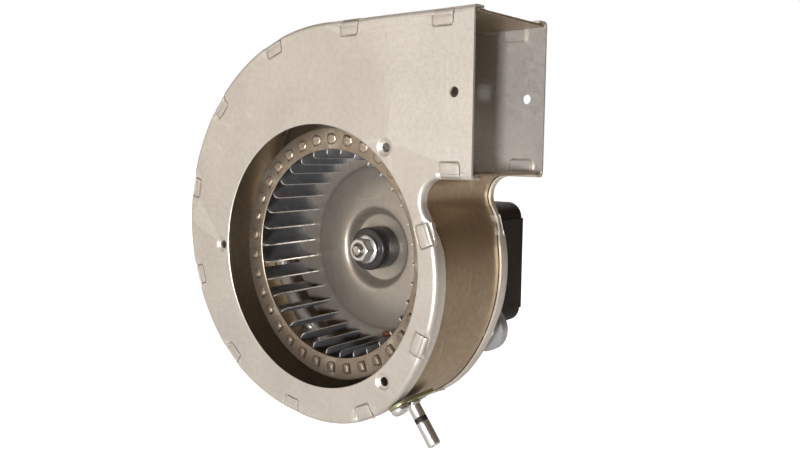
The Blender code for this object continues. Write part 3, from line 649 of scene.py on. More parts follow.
def grain() -> NodeTree:
    """Fine marks: a noise that is stretched along one direction."""
    effect = Effect("grain", ("Value",), Cycles=(1.0, 1.0, 1.0))
    place, cycles = effect.given["Vector"], effect.given["Cycles"]
    scaled = effect.node("VectorMath", {"operation": "MULTIPLY"}, _0=place, _1=cycles)
    effect.put(effect.out["Value"], effect.noise(scaled.outputs[0], Detail=3.0, Roughness=0.6))
    return effect.tree


def turning() -> NodeTree:
    """Rings round the shaft, as a lathe or a spinning die leaves them."""
    effect = Effect("turning", ("Value",), Cycles=900.0)
    parts = effect.node("SeparateXYZ", Vector=effect.given["Vector"])
    squares = [effect.sum("POWER", parts.outputs[axis], 2.0) for axis in (0, 2)]
    radius = effect.sum("SQRT", effect.sum("ADD", *squares))
    line = effect.node("CombineXYZ", X=effect.sum("MULTIPLY", radius, effect.given["Cycles"]))
    effect.put(effect.out["Value"], effect.noise(line.outputs[0], Detail=2.0, Roughness=0.7))
    return effect.tree


def mottle() -> NodeTree:
    """Soft spots of uneven colour, small ones over large ones."""
    effect = Effect("mottle", ("Fine", "Broad"), Cycles=300.0)
    for label, share, detail in (("Fine", 1.0, 4.0), ("Broad", 0.08, 2.0)):
        cycles = effect.sum("MULTIPLY", effect.given["Cycles"], share)
        spots = effect.noise(effect.given["Vector"], cycles, Detail=detail, Roughness=0.55)
        effect.put(effect.out[label], effect.ramp(spots, 0.32, 0.68))
    return effect.tree


def scratches() -> NodeTree:
    """Thin scuffs in two directions: the walls of long cells, where a patchy noise lets them show."""
    effect = Effect("scratches", ("Mask",), Cycles=40.0)
    place, cycles = effect.given["Vector"], effect.given["Cycles"]
    shown = effect.ramp(effect.noise(place, effect.sum("MULTIPLY", cycles, 2.0)), 0.5, 0.62)
    total: object = 0.0
    for turn, stretch in ((35.0, (1.0, 1.0, 0.12)), (-62.0, (0.1, 1.0, 1.0))):
        placed = effect.node("Mapping", _0=place, _2=(0.0, math.radians(turn), 0.0), _3=stretch)
        cells = effect.node("TexVoronoi", {"feature": "DISTANCE_TO_EDGE"}, Vector=placed.outputs[0], Scale=cycles)
        total = effect.sum("ADD", total, effect.ramp(cells.outputs[0], 0.0, 0.012, 1.0, 0.0))
    effect.put(effect.out["Mask"], effect.sum("MULTIPLY", total, shown, clamp=True))
    return effect.tree


def edges() -> NodeTree:
    """Outer edges, rubbed bright in patches as wear, and inner corners, where the colour is darkened as painted
    shade.
    """
    effect = Effect("edges", ("Worn", "Grimy"))
    point = effect.node("NewGeometry").outputs["Pointiness"]
    rubbed = effect.ramp(effect.noise(effect.given["Vector"], 700.0, Detail=3.0), 0.35, 0.6, 0.35, 1.0)
    effect.put(effect.out["Worn"], effect.sum("MULTIPLY", effect.ramp(point, 0.52, 0.6), rubbed, clamp=True))
    # Painted shade: the less pointy a place is, the more it is darkened, as if shade fell in its hollow.
    effect.put(effect.out["Grimy"], effect.ramp(point, 0.42, 0.485, 1.0, 0.0))
    return effect.tree


@dataclass(frozen=True)
class Finish:
    """One surface finish.

    Attributes:
        name: the material's name.
        slot: the record's material slot; not used.
        colour, shade: the main colour and the one that mottles it.
        worn: colour of rubbed edges and scuffs.
        metallic, roughness: of the shader.
        pattern: how the finest marks run.
        cycles: marks in a metre, along X, Y and Z, or rings in a metre when turned.
        grain: share of the marks in the colour, and their height in millimetres.
        spots: mottles in a metre, and their share in the colour.
        broad: share of the large soft patches in the colour.
        scuffs: share of the scratches.
        wear, crevice_shade_share: shares of the worn edges, and of the painted shade that darkens inner corners.
        coat: weight of a clear coat.
    """

    name: str
    slot: str
    colour: Colour
    shade: Colour
    worn: Colour
    metallic: float
    roughness: float
    pattern: Pattern = Pattern.EVEN
    cycles: tuple[float, float, float] = (900.0, 900.0, 900.0)
    grain: tuple[float, float] = (0.12, 0.004)
    spots: tuple[float, float] = (400.0, 0.3)
    broad: float = 0.3
    scuffs: float = 0.1
    wear: float = 0.4
    crevice_shade_share: float = 0.3
    coat: float = 0.0

    def material(self, groups: dict[str, NodeTree]) -> Material:
        """Build the material.

        Args:
            groups: the shared effects.

        Returns:
            The material.
        """
        made = bpy.data.materials.new(self.name)
        made.use_nodes = True
        weave = Weave(made.node_tree)
        shader = made.node_tree.nodes["Principled BSDF"]
        place = weave.node("TexCoord").outputs["Object"]

        def effect(label: str, **values: object) -> Node:
            """Place a shared effect."""
            node = weave.node("Group", {"node_tree": groups[label]})
            weave.put(node.inputs["Vector"], place)
            for key, value in values.items():
                weave.put(node.inputs[key], value)
            return node

        if self.pattern is Pattern.TURNED:
            marks = effect("turning", Cycles=self.cycles[0]).outputs[0]
        else:
            marks = effect("grain", Cycles=self.cycles).outputs[0]
        spots = effect("mottle", Cycles=self.spots[0]).outputs
        scuffs = weave.sum("MULTIPLY", effect("scratches").outputs[0], self.scuffs)
        wear_and_shade = effect("edges").outputs
        worn = weave.sum("MULTIPLY", wear_and_shade["Worn"], self.wear)
        crevice_shade = weave.sum("MULTIPLY", wear_and_shade["Grimy"], self.crevice_shade_share)

        tint = weave.sum("MULTIPLY", spots["Fine"], self.spots[1])
        tint = weave.sum("ADD", tint, weave.sum("MULTIPLY", spots["Broad"], self.broad))
        tint = weave.sum("ADD", tint, weave.sum("MULTIPLY", marks, self.grain[0]), clamp=True)
        colour = weave.mix(tint, self.colour, self.shade)
        colour = weave.mix(weave.sum("ADD", scuffs, worn, clamp=True), colour, self.worn)
        # Painted shade: inner corners, found by their pointiness, are darkened towards a dim copy of the shade
        # colour, and made rougher.
        colour = weave.mix(crevice_shade, colour, tuple(0.35 * c for c in self.shade))
        weave.put(shader.inputs["Base Color"], colour)

        rough = weave.sum("ADD", self.roughness - 0.05, weave.sum("MULTIPLY", spots["Fine"], 0.08))
        rough = weave.sum("ADD", rough, weave.sum("MULTIPLY", crevice_shade, 0.3))
        rough = weave.sum("SUBTRACT", rough, weave.sum("MULTIPLY", worn, 0.08), clamp=True)
        weave.put(shader.inputs["Roughness"], rough)

        height = weave.sum("ADD", marks, weave.sum("MULTIPLY", spots["Fine"], 0.6))
        height = weave.sum("SUBTRACT", height, weave.sum("MULTIPLY", scuffs, 2.0))
        bump = weave.node("Bump", Strength=1.0, Distance=self.grain[1] * MM, Height=height)
        weave.put(shader.inputs["Normal"], bump.outputs[0])
        shader.inputs["Metallic"].default_value = self.metallic
        shader.inputs["Coat Weight"].default_value = self.coat
        shader.inputs["Coat Roughness"].default_value = 0.25
        return made


def tone(red: int, green: int, blue: int) -> Colour:
    """A colour from its everyday 0 to 255 values, made linear."""
    return tuple(((c / 255 + 0.055) / 1.055) ** 2.4 for c in (red, green, blue))


PLATE = Finish(
    "satin_plate", "plate_steel", tone(216, 210, 201), tone(194, 188, 179), tone(238, 235, 230), 0.8, 0.47,
    Pattern.ROLLED, (300.0, 300.0, 1800.0), (0.2, 0.004), (420.0, 0.32), 0.35, 0.22, 0.35, 0.25,
)
WRAPPER = Finish(
    "wrapper_sheet", "wrapper_steel", tone(176, 157, 130), tone(154, 135, 110), tone(220, 211, 196), 0.92, 0.42,
    Pattern.ROLLED, (2200.0, 160.0, 2200.0), (0.14, 0.002), (380.0, 0.35), 0.4, 0.25, 0.4, 0.4,
)
WHEEL = Finish(
    "wheel_sheet", "wheel_steel", tone(166, 152, 135), tone(130, 116, 101), tone(220, 214, 204), 0.82, 0.42,
    Pattern.ROLLED, (900.0, 900.0, 900.0), (0.2, 0.004), (450.0, 0.3), 0.4, 0.15, 0.45, 0.4,
)
DISC = Finish(
    "spun_disc", "wheel_steel", tone(186, 178, 166), tone(158, 150, 139), tone(220, 216, 209), 0.8, 0.44,
    Pattern.TURNED, (1500.0, 0.0, 0.0), (0.3, 0.004), (350.0, 0.25), 0.35, 0.15, 0.4, 0.3,
)
BLADE = Finish(
    "blade_sheet", "wheel_steel", tone(180, 182, 186), tone(146, 148, 153), tone(220, 221, 222), 0.82, 0.42,
    Pattern.ROLLED, (500.0, 60.0, 500.0), (0.35, 0.006), (420.0, 0.35), 0.4, 0.2, 0.4, 0.5,
)
CUT_EDGE = Finish(
    "sheared_edge", "wheel_steel", tone(226, 224, 220), tone(190, 187, 182), tone(245, 244, 240), 0.8, 0.32,
    Pattern.EVEN, (1500.0, 1500.0, 1500.0), (0.3, 0.006), (700.0, 0.3), 0.1, 0.1, 0.3, 0.1,
)
ZINC = Finish(
    "bright_zinc", "bright_zinc", tone(228, 228, 226), tone(200, 200, 198), tone(245, 245, 243), 0.95, 0.33,
    Pattern.EVEN, (1200.0, 1200.0, 1200.0), (0.15, 0.002), (600.0, 0.2), 0.15, 0.15, 0.3, 0.35,
)
YELLOW_ZINC = Finish(
    "yellow_zinc", "yellow_zinc", tone(176, 172, 132), tone(140, 146, 112), tone(214, 212, 178), 0.9, 0.4,
    Pattern.ROLLED, (300.0, 300.0, 1500.0), (0.2, 0.003), (350.0, 0.4), 0.4, 0.2, 0.4, 0.3,
)
SHAFT_STEEL = Finish(
    "ground_steel", "ground_steel", tone(205, 200, 192), tone(176, 170, 160), tone(235, 232, 228), 1.0, 0.26,
    Pattern.EVEN, (2500.0, 2500.0, 2500.0), (0.25, 0.003), (500.0, 0.2), 0.2, 0.1, 0.3, 0.3,
)
CAST = Finish(
    "cast_alloy", "cast_alloy", tone(196, 198, 200), tone(168, 170, 172), tone(228, 229, 230), 0.85, 0.42,
    Pattern.EVEN, (1600.0, 1600.0, 1600.0), (0.3, 0.03), (500.0, 0.3), 0.3, 0.1, 0.5, 0.5,
)
LACQUER = Finish(
    "black_lacquer", "black_lacquer", tone(22, 14, 11), tone(14, 10, 8), tone(84, 72, 64), 0.0, 0.6,
    Pattern.ROLLED, (150.0, 2600.0, 150.0), (0.35, 0.008), (300.0, 0.35), 0.4, 0.06, 0.12, 0.3,
)
RUBBER = Finish(
    "hub_rubber", "rubber", tone(42, 39, 38), tone(30, 28, 27), tone(96, 92, 90), 0.0, 0.3,
    Pattern.EVEN, (1500.0, 1500.0, 1500.0), (0.3, 0.008), (600.0, 0.3), 0.3, 0.05, 0.35, 0.3,
)
NYLON = Finish(
    "natural_nylon", "nylon", tone(226, 220, 200), tone(208, 200, 176), tone(240, 236, 222), 0.0, 0.45,
    Pattern.EVEN, (900.0, 900.0, 900.0), (0.15, 0.006), (200.0, 0.2), 0.4, 0.04, 0.2, 0.3,
)
COPPER = Finish(
    "enamelled_copper", "copper", tone(196, 104, 58), tone(160, 74, 38), tone(230, 150, 100), 0.9, 0.3,
    Pattern.EVEN, (1200.0, 1200.0, 1200.0), (0.2, 0.002), (300.0, 0.3), 0.3, 0.05, 0.3, 0.5, 0.4,
)
CLIP_COPPER = Finish(
    "tarnished_clip", "copper", tone(150, 92, 66), tone(104, 60, 44), tone(206, 150, 120), 0.8, 0.42,
    Pattern.EVEN, (900.0, 900.0, 900.0), (0.3, 0.006), (900.0, 0.5), 0.2, 0.1, 0.5, 0.5,
)
BRONZE = Finish(
    "sintered_bronze", "bronze", tone(176, 134, 76), tone(140, 102, 56), tone(214, 176, 120), 0.9, 0.42,
    Pattern.EVEN, (2200.0, 2200.0, 2200.0), (0.35, 0.012), (900.0, 0.4), 0.2, 0.05, 0.4, 0.4,
)


class Paintshop:
    """Makes each finish once and puts it on pieces."""

    def __init__(self) -> None:
        """Build the shared effects."""
        self.groups = {make.__name__: make() for make in (grain, turning, mottle, scratches, edges)}
        self.made: dict[str, Material] = {}

    def material(self, finish: Finish) -> Material:
        """The finish's material, made when it is first asked for."""
        if finish.name not in self.made:
            self.made[finish.name] = finish.material(self.groups)
        return self.made[finish.name]

    def fit(self, piece: Solid, finish: Finish, body: str, *nodes: str) -> None:
        """Dress a new piece, let it ride on its body and stand for its CAD nodes.

        Args:
            piece: the new piece.
            finish: its finish.
            body: the body that it moves with.
            *nodes: the CAD nodes that it stands for.
        """
        if not piece.data.materials:
            piece.data.materials.append(self.material(finish))
        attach(piece, body)
        if nodes:
            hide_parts(*nodes)
        triangles = sum(len(face.vertices) - 2 for face in piece.data.polygons)
        LOG.info("%s: %d triangles, for %s", piece.name, triangles, ", ".join(nodes) or "no CAD node")

    def redress(self, node: str, finish: Finish) -> None:
        """Give a CAD node that stays on show its finish."""
        mesh = FRAME_NODES[node].data
        mesh.materials.clear()
        mesh.materials.append(self.material(finish))
        LOG.info("%s: kept, in %s", node, finish.name)


# --- Casing


@dataclass(frozen=True)
class ScrollPath:
    """The casing's outline from the outlet's top corner, round the scroll and the tongue, to its bottom corner.

    Attributes:
        controls: (angle, radius) pairs that the scroll passes.
        outlet_end, outlet_top, outlet_bottom: the outlet's three straight sides.
        tongue_centre, tongue_radius, tongue_arc: the hollow curve under the outlet, and its first and last angle.
        steps, arc_steps: pieces of the scroll and of the tongue.
    """

    controls: tuple[tuple[float, float], ...] = (
        (84.0, 100.15),
        (135.0, 93.4),
        (180.0, 86.7),
        (220.0, 79.7),
        (255.0, 73.9),
        (300.0, 73.0),
        (330.0, 69.0),
        (369.0, 66.0),
    )
    outlet_end: float = 81.9
    outlet_top: float = 99.6
    outlet_bottom: float = 36.1
    tongue_centre: tuple[float, float] = (67.5, 27.4)
    tongue_radius: float = 8.7
    tongue_arc: tuple[float, float] = (214.0, 90.0)
    steps: int = 144
    arc_steps: int = 16

    def radius(self, angle: float) -> float:
        """Radius of the scroll at an angle in degrees."""
        angles, radii = zip(*self.controls)
        last = len(angles) - 1
        slopes = [
            (radii[min(i + 1, last)] - radii[max(i - 1, 0)]) / (angles[min(i + 1, last)] - angles[max(i - 1, 0)])
            for i in range(last + 1)
        ]
        i = max(k for k in range(last) if angles[k] <= angle or k == 0)
        span = angles[i + 1] - angles[i]
        return hermite(radii[i], radii[i + 1], slopes[i] * span, slopes[i + 1] * span, (angle - angles[i]) / span)

    def points(self) -> Path:
        """The outline's points."""
        first, last = self.controls[0][0], self.controls[-1][0]
        line = [Vector((self.outlet_end * share, self.outlet_top)) for share in (1.0, 0.8, 0.6, 0.4)]
        for k in range(self.steps + 1):
            angle = first + (last - first) * k / self.steps
            line.append(polar(self.radius(angle), angle))
        start, stop = self.tongue_arc
        centre = Vector(self.tongue_centre)
        arc = [
            centre + polar(self.tongue_radius, start + (stop - start) * k / self.arc_steps)
            for k in range(self.arc_steps + 1)
        ]
        leave, arrive = (line[-1] - line[-2]).normalized(), (arc[1] - arc[0]).normalized()
        end, reach, blends = line[-1], (arc[0] - line[-1]).length, 8
        line += [hermite(end, arc[0], leave * reach, arrive * reach, k / blends) for k in range(1, blends)]
        line += arc
        return line + [Vector((self.outlet_end, self.outlet_bottom))]

    @staticmethod
    def inset(line: Path, distance: float) -> Path:
        """The open path moved towards the airway."""
        moved = []
        last = len(line) - 1
        for i, point in enumerate(line):
            before = (line[i] - line[i - 1]).normalized() if i > 0 else None
            after = (line[i + 1] - line[i]).normalized() if i < last else None
            before, after = before or after, after or before
            along = (before + after).normalized()
            left = Vector((-along.y, along.x))
            moved.append(point + left * distance / along.dot(after))
        return moved

    @staticmethod
    def station(line: Path, length: float) -> tuple[Vector, Vector, Vector]:
        """The point at a length along the path, the direction there, and the direction of the airway."""
        for first, second in zip(line, line[1:]):
            side = second - first
            if length <= side.length:
                along = side.normalized()
                return first + along * length, along, Vector((-along.y, along.x))
            length -= side.length
        raise ValueError("the path ends before that length")


@dataclass
class ScrollCasing:
    """Two pressed plates and the wrapper between them, whose tabs fold over both.

    Attributes:
        depth, sheet: of the casing and of its sheet.
        fold: radius of the plates' fold.
        rim, rim_at_tongue: how far each plate reaches over the wrapper.
        inlet: radius of the inlet.
        stations: lengths along the outline where the tabs are.
        tab_half, tab_reach: half width of a tab, and how far it reaches from the outline.
        tab_bend, tab_stem, tab_face: radius of a tab's bend, its distance from the outline, and its height.
        window: where the hole for a tab starts and ends, measured from the outline.
        pocket_half, pocket_reach, pocket_corner: of the pocket that a tab lies in.
        pocket_depth, pocket_wall: of the pocket and of its sloping wall.
        wrapper_inset, wrapper_edge: how far inside the outline and behind each face the wrapper is.
        boiler_holes: radius and angle of each fixing hole.
        outlet_hole, hole: place of the hole in each side of the outlet, and the small holes' radius.
        hub_hole, leg_pitch, leg_angles: the back plate's holes for the hub and for the motor's legs.
    """

    shop: Paintshop
    places: GrowthTree
    path: ScrollPath = field(default_factory=ScrollPath)
    depth: float = 53.8
    sheet: float = 1.0
    fold: float = 1.9
    rim: float = 6.4
    rim_at_tongue: float = 4.0
    inlet: float = 57.5
    stations: tuple[int, ...] = (14, 61, 108, 155, 201, 247, 293, 339, 386, 434, 481, 512)
    tab_half: float = 4.3
    tab_reach: float = 6.15
    tab_bend: float = 1.3
    tab_stem: float = 0.65
    tab_face: float = -0.12
    window: tuple[float, float] = (0.55, 2.6)
    pocket_half: float = 5.1
    pocket_reach: float = 7.1
    pocket_corner: float = 1.4
    pocket_depth: float = 1.2
    pocket_wall: float = 0.8
    wrapper_inset: float = 1.3
    wrapper_edge: float = 2.8
    boiler_holes: tuple[tuple[float, float], ...] = ((62.5, 50.0), (62.5, 180.0), (62.5, 310.0))
    outlet_hole: tuple[float, float] = (73.6, 68.5)
    hole: float = 2.0
    hub_hole: float = 10.1
    leg_pitch: float = LEG_PITCH
    leg_angles: tuple[float, ...] = LEG_ANGLES

    def __post_init__(self) -> None:
        """Work out the outline once."""
        self.line = self.path.points()

    def build(self) -> None:
        """Build and dress the casing."""
        front = self.plate("front_plate_skin", True)
        self.shop.fit(front, PLATE, CASING, "front_plate")
        back = self.plate("back_plate_skin", False)
        self.shop.fit(back, PLATE, CASING, "back_plate")
        self.shop.fit(self.wrapper(), WRAPPER, CASING, "scroll_wrapper")
        self.shop.fit(self.tabs(), PLATE, CASING)
        # A thin dark strip at each rim's end on the wrapper, as painted shadow.
        self.shop.fit(self.rim_shadows(), LACQUER, CASING)

    def off_outline(self, points: np.ndarray) -> np.ndarray:
        """Distance of each point from the outline."""
        nearest = np.full(len(points), 1e9)
        for a, b in zip(self.line, self.line[1:]):
            start, side = np.array(a), np.array(b - a)
            share = np.clip((points - start) @ side / (side @ side), 0.0, 1.0)
            nearest = np.minimum(nearest, np.linalg.norm(points - start - share[:, None] * side, axis=1))
        return nearest

    def folded(self, points: np.ndarray) -> np.ndarray:
        """Depth below the plate's face that the fold and the tabs' pockets give."""
        off = self.off_outline(points)
        depth = self.fold - np.sqrt(np.maximum(self.fold**2 - (self.fold - np.minimum(off, self.fold)) ** 2, 0.0))
        corner = self.pocket_corner
        for length in self.stations:
            place, along, left = self.path.station(self.line, length)
            local = points - np.array(place)
            x, y = np.abs(local @ np.array(along)), local @ np.array(left)
            outside_x, outside_y = x - (self.pocket_half - corner), y - (self.pocket_reach - corner)
            reach = np.hypot(np.maximum(outside_x, 0.0), np.maximum(outside_y, 0.0))
            inward = np.minimum(corner - reach - np.minimum(np.maximum(outside_x, outside_y), 0.0), y + 1.5)
            share = smooth_step(inward / self.pocket_wall) * np.clip(0.35 + off, 0.0, 1.0)
            depth += self.pocket_depth * share
        return depth

    def pressed(self, front: bool) -> list[tuple[Vector, float, float, float]]:
        """Round shapes pressed into a plate: each one's centre, inner and outer radius, and depth."""
        if front:
            rim = self.hole + 2.0
            shapes = [(polar(radius, angle), self.hole, rim, 1.25) for radius, angle in self.boiler_holes]
        else:
            shapes = [(polar(74.0, angle), 0.5, 2.3, 0.8) for angle in (221.0, 227.0)]
            shapes += [(polar(self.leg_pitch, angle), 8.0, 10.5, -0.28) for angle in self.leg_angles]
            shapes.append((Vector((0.0, 0.0)), self.hub_hole, self.hub_hole + 1.6, -0.25))
        return shapes

    def plate(self, name: str, front: bool) -> Solid:
        """A pressed plate with its fold, rim, pockets, windows and holes."""
        face = 0.0 if front else self.depth
        inward = 1.0 if front else -1.0
        shapes = self.pressed(front)

        def depth(points: np.ndarray) -> np.ndarray:
            """World depth of the plate's outer side."""
            below = self.folded(points)
            for centre, inner, outer, press in shapes:
                off = np.linalg.norm(points - np.array(centre), axis=1)
                below += press * smooth_step((outer - off) / (outer - inner))
            if front:
                off = np.linalg.norm(points, axis=1) - self.inlet
                below += 0.3 * np.clip(1.0 - off / 0.6, 0.0, 1.0) ** 2
            return face + inward * below

        holes = [circle(self.outlet_hole, self.hole, 28)]
        guides: list[tuple[Path, bool]] = []
        for share in (7.5, 22.5, 37.5, 52.5, 67.5, 82.0):
            guides.append((self.path.inset(self.line, self.fold * (1 - math.cos(math.radians(share)))), False))
        for extra in (0.0, 0.35):
            guides.append((self.path.inset(self.line, self.fold + extra), False))
        if front:
            holes += [circle(polar(radius, angle), self.hole, 28) for radius, angle in self.boiler_holes]
            holes.append(circle((0.0, 0.0), self.inlet, 180))
            guides += [(circle((0.0, 0.0), self.inlet + extra, 180), True) for extra in (0.2, 0.4, 0.6, 0.9)]
        else:
            holes += [circle(polar(self.leg_pitch, angle), 2.3, 24) for angle in self.leg_angles]
            holes.append(circle((0.0, 0.0), self.hub_hole, 64))
        for centre, inner, outer, _ in shapes:
            spans = [inner + (outer - inner) * share for share in (0.0, 0.25, 0.5, 0.75, 1.0, 1.15)]
            guides += [(circle(centre, radius, 32), True) for radius in spans]
        for length in self.stations:
            place, along, left = self.path.station(self.line, length)
            holes.append(self.window_loop(place, along, left))
            for share in (0.0, 0.3, 0.65, 1.0):
                guides.append((self.pocket_line(place, along, left, share * self.pocket_wall), False))
        draft = Draft()
        sheet = PressedSheet(list(self.line), depth, holes, guides)
        on_edge = sheet.lay(draft, front)
        edge = [on_edge[i] for i in range(len(self.line))]
        ends = [self.rim_end(point) for point in self.line]
        middle = draft.row(
            spot(p, face + inward * (abs(v.co.y - face) * 0.4 + end * 0.6))
            for p, v, end in zip(self.line, edge, ends)
        )
        lower = draft.row(spot(p, face + inward * end) for p, end in zip(self.line, ends))
        rows = [edge, middle, lower] if not front else [lower, middle, edge]
        draft.skin(rows)
        plate = draft.make(name, closed=False)
        thicken(plate, self.sheet)
        round_edges(plate, 0.12, 1, 60.0)
        return plate

    def rim_end(self, point: Vector) -> float:
        """How far the rim reaches at a point of the outline: less round the tongue."""
        off = (point - Vector(self.path.tongue_centre)).length - 1.3 * self.path.tongue_radius
        share = min(max(off / self.path.tongue_radius, 0.0), 1.0)
        return self.rim_at_tongue + (self.rim - self.rim_at_tongue) * share

    def window_loop(self, place: Vector, along: Vector, left: Vector) -> Path:
        """The hole in the fold through which a tab comes up."""
        low, high = self.window
        half = self.tab_half + 0.25
        return [place + along * x + left * y for x, y in ((-half, low), (half, low), (half, high), (-half, high))]

    def pocket_line(self, place: Vector, along: Vector, left: Vector, inset: float) -> Path:
        """A line round a tab's pocket, from one side of the window to the other."""
        half, reach = self.pocket_half - inset, self.pocket_reach - inset
        corner = max(self.pocket_corner - inset, 0.4)
        centre = Vector((half - corner, reach - corner))
        right = [centre + polar(corner, angle) for angle in (0.0, 22.5, 45.0, 67.5, 90.0)]
        corners = [Vector((half, self.window[1]))] + right
        corners += [Vector((-p.x, p.y)) for p in corners[::-1]]
        return [place + along * p.x + left * p.y for p in corners]

    def wrapper(self) -> Solid:
        """The strip between the plates."""
        draft = Draft()
        wall = self.path.inset(self.line, self.wrapper_inset)
        depths = (self.wrapper_edge, 7.0, self.depth / 2, self.depth - 7.0, self.depth - self.wrapper_edge)
        draft.skin([draft.row(spot(p, depth) for p in wall) for depth in depths][::-1])
        strip = draft.make("scroll_wrapper_skin", closed=False)
        thicken(strip, self.sheet)
        round_edges(strip, 0.12, 1, 60.0)
        return strip

    def rim_shadows(self) -> Solid:
        """A thin dark strip where each plate's rim ends on the wrapper: painted shadow for the narrow gap there."""
        draft = Draft()
        skin, under = (self.path.inset(self.line, self.wrapper_inset - off) for off in (0.12, -0.2))
        ends = [self.rim_end(point) for point in self.line]
        for plate_ends in (ends, [self.depth - end for end in ends]):
            rows = [
                draft.row(spot(p, end + shift) for p, end in zip(path, plate_ends))
                for path, shift in ((under, -0.3), (skin, -0.3), (skin, 0.7), (under, 0.7))
            ]
            draft.skin(rows + rows[:1])
            draft.cap([row[0] for row in rows])
            draft.cap([row[-1] for row in rows[::-1]])
        return draft.make("rim_joints")

    def tab_template(self) -> Solid:
        """One tab: X along the outline, Y towards the airway and Z out of the plate's face."""
        bend, stem, face = self.tab_bend, self.tab_stem, self.tab_face
        centre = Vector((stem + bend, face - bend))
        middle = [Vector((1.35, -7.0)), Vector((1.3, -4.6)), Vector((stem + 0.12, -3.0))]
        middle += [centre + polar(bend, angle) for angle in range(180, 80, -15)]
        start, corner = middle[-1].x, 1.3
        dip = ((0.35, 0.2), (0.8, 0.22), (1.3, 0.05))
        middle += [Vector((start + on, face - down)) for on, down in dip]
        start, tip = start + dip[-1][0], self.tab_reach - corner
        flat = [start + (tip - start) * k / 2 for k in (1, 2)]
        flat += [tip + corner * share for share in (0.3, 0.6, 0.85, 1.0)]
        middle += [Vector((y, face)) for y in flat]
        draft, rows = Draft(), []
        for point in middle:
            past = max(point.x - tip, 0.0) if point.y > -1.0 else 0.0
            half = self.tab_half - (corner - math.sqrt(max(corner**2 - past**2, 0.0)))
            across = (half * share for share in (-1.0, -0.5, 0.0, 0.5, 1.0))
            rows.append(draft.row(Vector((x, point.x, point.y)) for x in across))
        draft.skin(rows)
        tab = draft.make("tab_template", closed=False)
        thicken(tab, self.sheet * 0.9)
        round_edges(tab, 0.16, 2, 50.0)
        return tab

    def tabs(self) -> Solid:
        """The wrapper's tabs, folded over both plates."""
        seats = []
        for face, way in ((0.0, 1.0), (self.depth, -1.0)):
            for length in self.stations:
                place, along, left = self.path.station(self.line, length)
                side, inward = spot(along, 0.0) * way, spot(left, 0.0)
                turn = Matrix((side, inward, side.cross(inward))).transposed().to_euler()
                seats.append((spot(place, face), turn))
        return self.places.grow_at("wrapper_tabs", self.tab_template(), seats, self.shop.material(PLATE))


# --- Wheel


